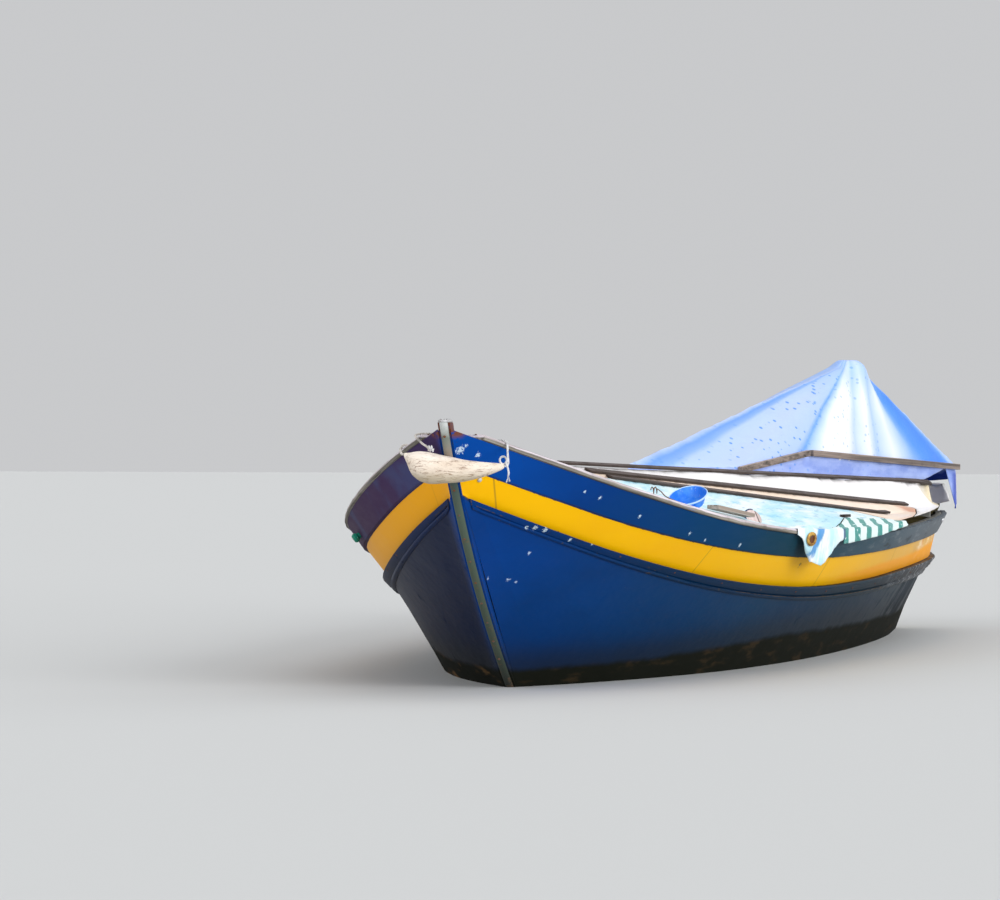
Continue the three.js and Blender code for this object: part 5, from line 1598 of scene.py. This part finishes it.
BOARD_ENDS = ((4965, 792), (5250, 690))  # the ends of the slotted board, forward of the transom and to port
BOARD_SLOTS = ((0.03, 0.13, 0.018, 0.040), (0.155, 0.27, 0.018, 0.040))  # from and to, along and across
PLATE_AT, PLATE_FACES = (4895, 806), (0.55, 0.62, 0.56)
PLATE_PROFILE = ((0, 0), (0.038, 0), (0.040, 0.002), (0.040, 0.007), (0.038, 0.009), (0, 0.009))


def dress_board():
    """The slotted board, the round plate at its end and the plate's dark rim."""
    tree = tree_of("cover_cyan", "cover_white", "inwale_port", "cap_rail_port")
    start, end = (from_above(tree, *at) for at in BOARD_ENDS)
    along = (end - start).normalized()
    side = Vector((0, 0, 1)).cross(along).normalized()
    board = slotted_board(0.30, 0.055, 0.016, BOARD_SLOTS)
    upright_grain(board, 3)
    softened(board, 0.0015)
    turn = Matrix((along, side, along.cross(side))).transposed().to_4x4()
    set_down(board, start + Vector((0, -0.012, 0.006)), turn)
    mark_top(board)
    piece("slotted_board", board, "tan board")
    plate = turned(PLATE_PROFILE)
    upright_grain(plate, 5)
    mark_top(plate)
    middle, out = from_above(tree, *PLATE_AT) + Vector((0, 0, 0.004)), Vector(PLATE_FACES).normalized()
    piece("board_end", stood(plate, middle, out), "pale board")
    across = out.cross(Vector((0, 0, 1))).normalized()
    rise = across.cross(out)
    rim = [middle + out * 0.006 + 0.041 * (math.cos(a) * across + math.sin(a) * rise)
           for a in np.linspace(-0.15 * math.pi, 0.60 * math.pi, 12)]
    tube("board_end_rim", rim, 0.0040, "dark plastic")


HOOK_AT, HOOK_END = (5960, 590), (5600, 645)


def dress_hook():
    """A wire, coiled at its fore end, that lies on the covers."""
    tree = tree_of("cover_cyan", "cover_white", "cap_rail_port", "inwale_port")
    hook, end = from_above(tree, *HOOK_AT), from_above(tree, *HOOK_END)
    coil = [hook + Vector((0.012 * math.cos(a), 0.002 * a, 0.014 + 0.012 * math.sin(a)))
            for a in np.linspace(0, 13, 40)]
    tail = [hook + Vector((-0.10, 0.02, 0.006)), (hook + end) / 2 + Vector((0, 0, 0.008)),
            end + Vector((0, 0, 0.004))]
    tube("wire_hook", [*coil, *tail], 0.0022, "rusty iron")


SHORT_BATTEN_AT = (3255, 940)


def dress_short_batten():
    tree = tree_of("cover_cyan", "cloth_banded", "cover_white", "cover_salmon")
    batten = slotted_board(0.085, 0.024, 0.012)
    upright_grain(batten, 7)
    softened(batten, 0.0015)
    place = from_above(tree, *SHORT_BATTEN_AT) + Vector((-0.042, -0.01, 0.003))
    set_down(batten, place, Matrix.Rotation(math.atan2(-0.17, 1.0), 4, "Z"))
    mark_top(batten)
    piece("short_batten", batten, "batten wood")


STUD = ((0, 0), (0.0095, 0), (0.0105, 0.0015), (0.009, 0.006), (0.005, 0.009), (0, 0.010))
KNOB = ((0, 0), (0.012, 0), (0.013, 0.010), (0.019, 0.016), (0.020, 0.026), (0.015, 0.034), (0, 0.036))

# Each one's name, profile and sides, its side of the boat, its place, how deep it is sunk, and its look
SIDE_THINGS = (
    ("strake_stud", STUD, 20, "port", (6755, 0, 836), 0.001, "bright screw", "grey_rail"),
    ("quarter_stud", STUD, 20, "port", (1150, 0, 566), 0.001, "bright screw", "grey_rail"),
    ("green_knob", KNOB, 24, "starboard", (5429, 0, 589), 0.002, "green plastic", "yellow_strake"),
)


def dress_side_things():
    for name, profile, sides, side, at, sunk, material, slot in SIDE_THINGS:
        tree = tree_of(f"yellow_strake_{side}", f"upper_strake_{side}")
        place, way = from_side(tree, placed(*at), side)
        piece(name, stood(turned(profile, sides), place - way * sunk, way), material)


EYELET_RING = ((0.0160, 0.0), (0.0175, 0.0045), (0.0240, 0.0055), (0.0295, 0.0025), (0.0305, -0.001),
               (0.0160, 0.0))
EYELET_COLLAR = ((0.0105, 0.0005), (0.0110, 0.0030), (0.0150, 0.0034), (0.0168, 0.0010), (0.0105, 0.0005))
# a flat dark disc fills the ring's hole: painted shade
EYELET_HOLE = ((0, 0.0), (0.0112, 0.0), (0.0112, 0.0012), (0, 0.0006))


def dress_eyelet():
    """The brass ring in the flap, with a dark disc in its hole as painted shade."""
    shape = bpy.data.objects["cover_flap_cloth"].data
    tree = BVHTree.FromPolygons([v.co for v in shape.vertices], [p.vertices for p in shape.polygons])
    place = from_side(tree, placed(*EYELET_AT))[0] + EYELET_FACES * 0.004
    for name, profile, sides, material, smooth in (
            ("flap_eyelet", EYELET_RING, 36, "brass ring", 50.0),
            ("flap_eyelet_collar", EYELET_COLLAR, 30, "rusty iron", 50.0),
            # the hole's dark disc is painted shade
            ("flap_eyelet_hole", EYELET_HOLE, 24, "rusty iron", 30.0)):
        body = stood(turned(profile, sides), place, EYELET_FACES)
        piece(name, body, material, smooth=smooth)


# Fastenings

NAILS_INSIDE = 0.034  # from a rail's outer edge to its nails
WALE_NAILS_UP = 0.62  # where the wale's nails are, as a share of its height
WALE_NAIL_GAP = 0.42
STEM_SCREWS = (0.32, 1.20)  # heights of the lowest one and the highest one
SCREW_GAP, SCREW_RADIUS = 0.118, 0.0055


def rail_points(side, inset_by):
    """Points along a cap rail's top, inside its outer edge."""
    shape = merged(f"cap_rail_{side}")
    rings = {}
    for vert in shape.verts:
        rings.setdefault(round(vert.co.x, 4), []).append(vert.co.copy())
    shape.free()
    sign = 1 if side == "port" else -1
    line = []
    for x in sorted(rings):
        outer = max(abs(co.y) for co in rings[x])
        top = max(co.z for co in rings[x])
        line.append(Vector((x, sign * (outer - inset_by), top)))
    return line


def side_points(tree, xs, zs, side):
    """Points on the boat's side, with the way out at each."""
    found = [from_side(tree, Vector((x, 0, z)), side) for x, z in zip(xs, zs)]
    return [place for place, _ in found], [way for _, way in found]


def edge_heights(node, pick):
    """The top or bottom edge of a long node, by pick's max or min: places along X, and heights."""
    shape = merged(node)
    points = sorted((v.co.x, v.co.z) for v in shape.verts)
    shape.free()
    xs = np.linspace(points[0][0] + 0.02, points[-1][0] - 0.02, 60)
    return xs, np.array([pick(z for px, z in points if abs(px - x) < 0.16) for x in xs])


def dress_fastenings():
    nail, gap = sizes().nail, sizes().nail_gap
    for side in SIDES:
        line = rail_points(side, NAILS_INSIDE)
        ways = [Vector((0, 0, 1))] * len(line)
        fastenings(f"rail_nails_{side}", line, ways, gap, nail, "rusty iron")
        wale = f"wale_{side}"
        xs = np.arange(-3.3, 2.9, 0.1)
        top, foot = (np.interp(xs, *edge_heights(wale, pick)) for pick in (max, min))
        zs = foot + WALE_NAILS_UP * (top - foot)
        places, ways = side_points(tree_of(wale), xs, zs, side)
        fastenings(f"wale_nails_{side}", places, ways, WALE_NAIL_GAP, nail, "rusty iron", 3)


def dress_stem_screws():
    tree = tree_of("stem_band")
    found = [surface(tree, (4.5, 0.0, z), (-1, 0, 0)) for z in np.linspace(*STEM_SCREWS, 8)]
    places, ways = zip(*found)
    fastenings("stem_screws", places, ways, SCREW_GAP, SCREW_RADIUS, "rusty iron", 5)


# Stage

FLOOR_REACH = 60  # from the boat to the floor's edges

# Each lamp's name, its way from the boat, its strength and its soft angle
LIGHTS = (
    ("key", (8.5, 11.0, 3.7), 2.2, 0.6),
    ("side", (10.0, -7.0, 3.0), 1.15, 0.9),
    ("top", (-1.0, 2.0, 9.0), 0.50, 0.9),
    ("rear", (-7.0, 8.0, 4.0), 0.45, 0.9),
)


def make_stage():
    floor_shape = bmesh.new()
    bmesh.ops.create_grid(floor_shape, x_segments=1, y_segments=1, size=FLOOR_REACH)
    for vert in floor_shape.verts:
        vert.co.z = WATERLINE
    mesh = bpy.data.meshes.new("floor")
    floor_shape.to_mesh(mesh)
    floor_shape.free()
    floor = bpy.data.objects.new("floor", mesh)
    bpy.context.scene.collection.objects.link(floor)
    material = bpy.data.materials.new("pale floor")
    material.use_nodes = True
    shader = material.node_tree.nodes["Principled BSDF"]
    shader.inputs["Base Color"].default_value = (0.62, 0.63, 0.63, 1)
    shader.inputs["Roughness"].default_value = 0.8
    shader.inputs["Specular IOR Level"].default_value = 0.05
    mesh.materials.append(material)
    world = bpy.data.worlds.new("studio")
    bpy.context.scene.world = world
    world.use_nodes = True
    sky = world.node_tree.nodes["Background"]
    sky.inputs["Color"].default_value = (0.97, 0.98, 1.0, 1)
    sky.inputs["Strength"].default_value = 0.6
    for name, way, strength, soft in LIGHTS:
        light = bpy.data.lights.new(name, "SUN")
        light.energy = strength
        light.angle = soft
        lamp = bpy.data.objects.new(name, light)
        lamp.location = way
        lamp.rotation_euler = Vector(way).to_track_quat("Z", "Y").to_euler()
        bpy.context.scene.collection.objects.link(lamp)
    bpy.context.scene.view_settings.view_transform = "Standard"


def make_camera():
    data = bpy.data.cameras.new("photograph")
    data.lens = CAMERA_LENS
    data.sensor_width = CAMERA_SENSOR
    data.clip_end = 200
    camera = bpy.data.objects.new("photograph", data)
    right = Vector(CAMERA_RIGHT).normalized()
    back = -Vector(CAMERA_FORWARD).normalized()
    up = back.cross(right)
    turn = Matrix((right, up, back)).transposed().to_4x4()
    camera.matrix_world = Matrix.Translation(CAMERA_AT) @ turn
    bpy.context.scene.collection.objects.link(camera)
    bpy.context.scene.camera = camera


# Operators

class BOAT_OT_stage(bpy.types.Operator):
    """Adds the floor, the light and the camera."""
    bl_idname = "boat.stage"
    bl_label = "Stage"
    bl_options = {"REGISTER", "UNDO"}

    def execute(self, context):
        make_stage()
        make_camera()
        return {"FINISHED"}


class BOAT_OT_finishes(bpy.types.Operator):
    """Makes the shared effects and every finish."""
    bl_idname = "boat.finishes"
    bl_label = "Finishes"
    bl_options = {"REGISTER", "UNDO"}

    def execute(self, context):
        make_effects()
        make_finishes()
        fastener_tree()
        rope_tree()
        return {"FINISHED"}


class BOAT_OT_hull(bpy.types.Operator):
    """Paints the planks, wales and bottom."""
    bl_idname = "boat.hull"
    bl_label = "Hull"
    bl_options = {"REGISTER", "UNDO"}

    def execute(self, context):
        dress_hull()
        dress_stem()
        return {"FINISHED"}


class BOAT_OT_rails(bpy.types.Operator):
    """Weathers the rails, the transom and the straps."""
    bl_idname = "boat.rails"
    bl_label = "Rails and transom"
    bl_options = {"REGISTER", "UNDO"}

    def execute(self, context):
        dress_rails()
        return {"FINISHED"}


class BOAT_OT_inside(bpy.types.Operator):
    """Finishes the frames, boards, seats and deck."""
    bl_idname = "boat.inside"
    bl_label = "Inside"
    bl_options = {"REGISTER", "UNDO"}

    def execute(self, context):
        dress_inside()
        return {"FINISHED"}


class BOAT_OT_covers(bpy.types.Operator):
    """Lays the loose covers and the cloths."""
    bl_idname = "boat.covers"
    bl_label = "Covers"
    bl_options = {"REGISTER", "UNDO"}

    def execute(self, context):
        dress_covers()
        dress_cloths()
        return {"FINISHED"}


class BOAT_OT_battens(bpy.types.Operator):
    """Weathers the battens."""
    bl_idname = "boat.battens"
    bl_label = "Battens"
    bl_options = {"REGISTER", "UNDO"}

    def execute(self, context):
        dress_battens()
        return {"FINISHED"}


class BOAT_OT_tent(bpy.types.Operator):
    """Stretches the tarpaulin tent."""
    bl_idname = "boat.tent"
    bl_label = "Tent"
    bl_options = {"REGISTER", "UNDO"}

    def execute(self, context):
        dress_tent()
        return {"FINISHED"}


class BOAT_OT_fender(bpy.types.Operator):
    """Makes the fender and its lines."""
    bl_idname = "boat.fender"
    bl_label = "Fender"
    bl_options = {"REGISTER", "UNDO"}

    def execute(self, context):
        dress_fender()
        dress_fender_lines()
        return {"FINISHED"}


class BOAT_OT_gear(bpy.types.Operator):
    """Sets the tub, the board and the small things on the covers and sides."""
    bl_idname = "boat.gear"
    bl_label = "Gear"
    bl_options = {"REGISTER", "UNDO"}

    def execute(self, context):
        dress_tub()
        dress_board()
        dress_hook()
        dress_short_batten()
        dress_side_things()
        dress_eyelet()
        return {"FINISHED"}


class BOAT_OT_fastenings(bpy.types.Operator):
    """Sets the nails and screws."""
    bl_idname = "boat.fastenings"
    bl_label = "Fastenings"
    bl_options = {"REGISTER", "UNDO"}

    def execute(self, context):
        dress_fastenings()
        dress_stem_screws()
        return {"FINISHED"}


OPERATORS = (BOAT_OT_stage, BOAT_OT_finishes, BOAT_OT_hull, BOAT_OT_rails, BOAT_OT_inside,
             BOAT_OT_covers, BOAT_OT_battens, BOAT_OT_tent, BOAT_OT_fender,
             BOAT_OT_gear, BOAT_OT_fastenings)


class BOAT_PT_panel(bpy.types.Panel):
    bl_label = "Boat"
    bl_idname = "BOAT_PT_panel"
    bl_space_type = "VIEW_3D"
    bl_region_type = "UI"
    bl_category = "Boat"

    def draw(self, context):
        for one in OPERATORS:
            self.layout.operator(one.bl_idname)
        for group in (context.scene.boat_sizes, context.scene.boat_colours):
            for name in group.bl_rna.properties.keys():
                if name not in ("rna_type", "name"):
                    self.layout.prop(group, name)


CLASSES = (BoatSizes, BoatColours, *OPERATORS, BOAT_PT_panel)


def register():
    for one in CLASSES:
        bpy.utils.register_class(one)
    bpy.types.Scene.boat_sizes = PointerProperty(type=BoatSizes)
    bpy.types.Scene.boat_colours = PointerProperty(type=BoatColours)


def unregister():
    del bpy.types.Scene.boat_sizes
    del bpy.types.Scene.boat_colours
    for one in reversed(CLASSES):
        bpy.utils.unregister_class(one)


def main():
    register()
    bpy.ops.boat.stage()
    bpy.ops.boat.finishes()
    bpy.ops.boat.hull()
    bpy.ops.boat.rails()
    bpy.ops.boat.inside()
    bpy.ops.boat.covers()
    bpy.ops.boat.battens()
    bpy.ops.boat.tent()
    bpy.ops.boat.fender()
    bpy.ops.boat.gear()
    bpy.ops.boat.fastenings()


if __name__ == "__main__":
    main()
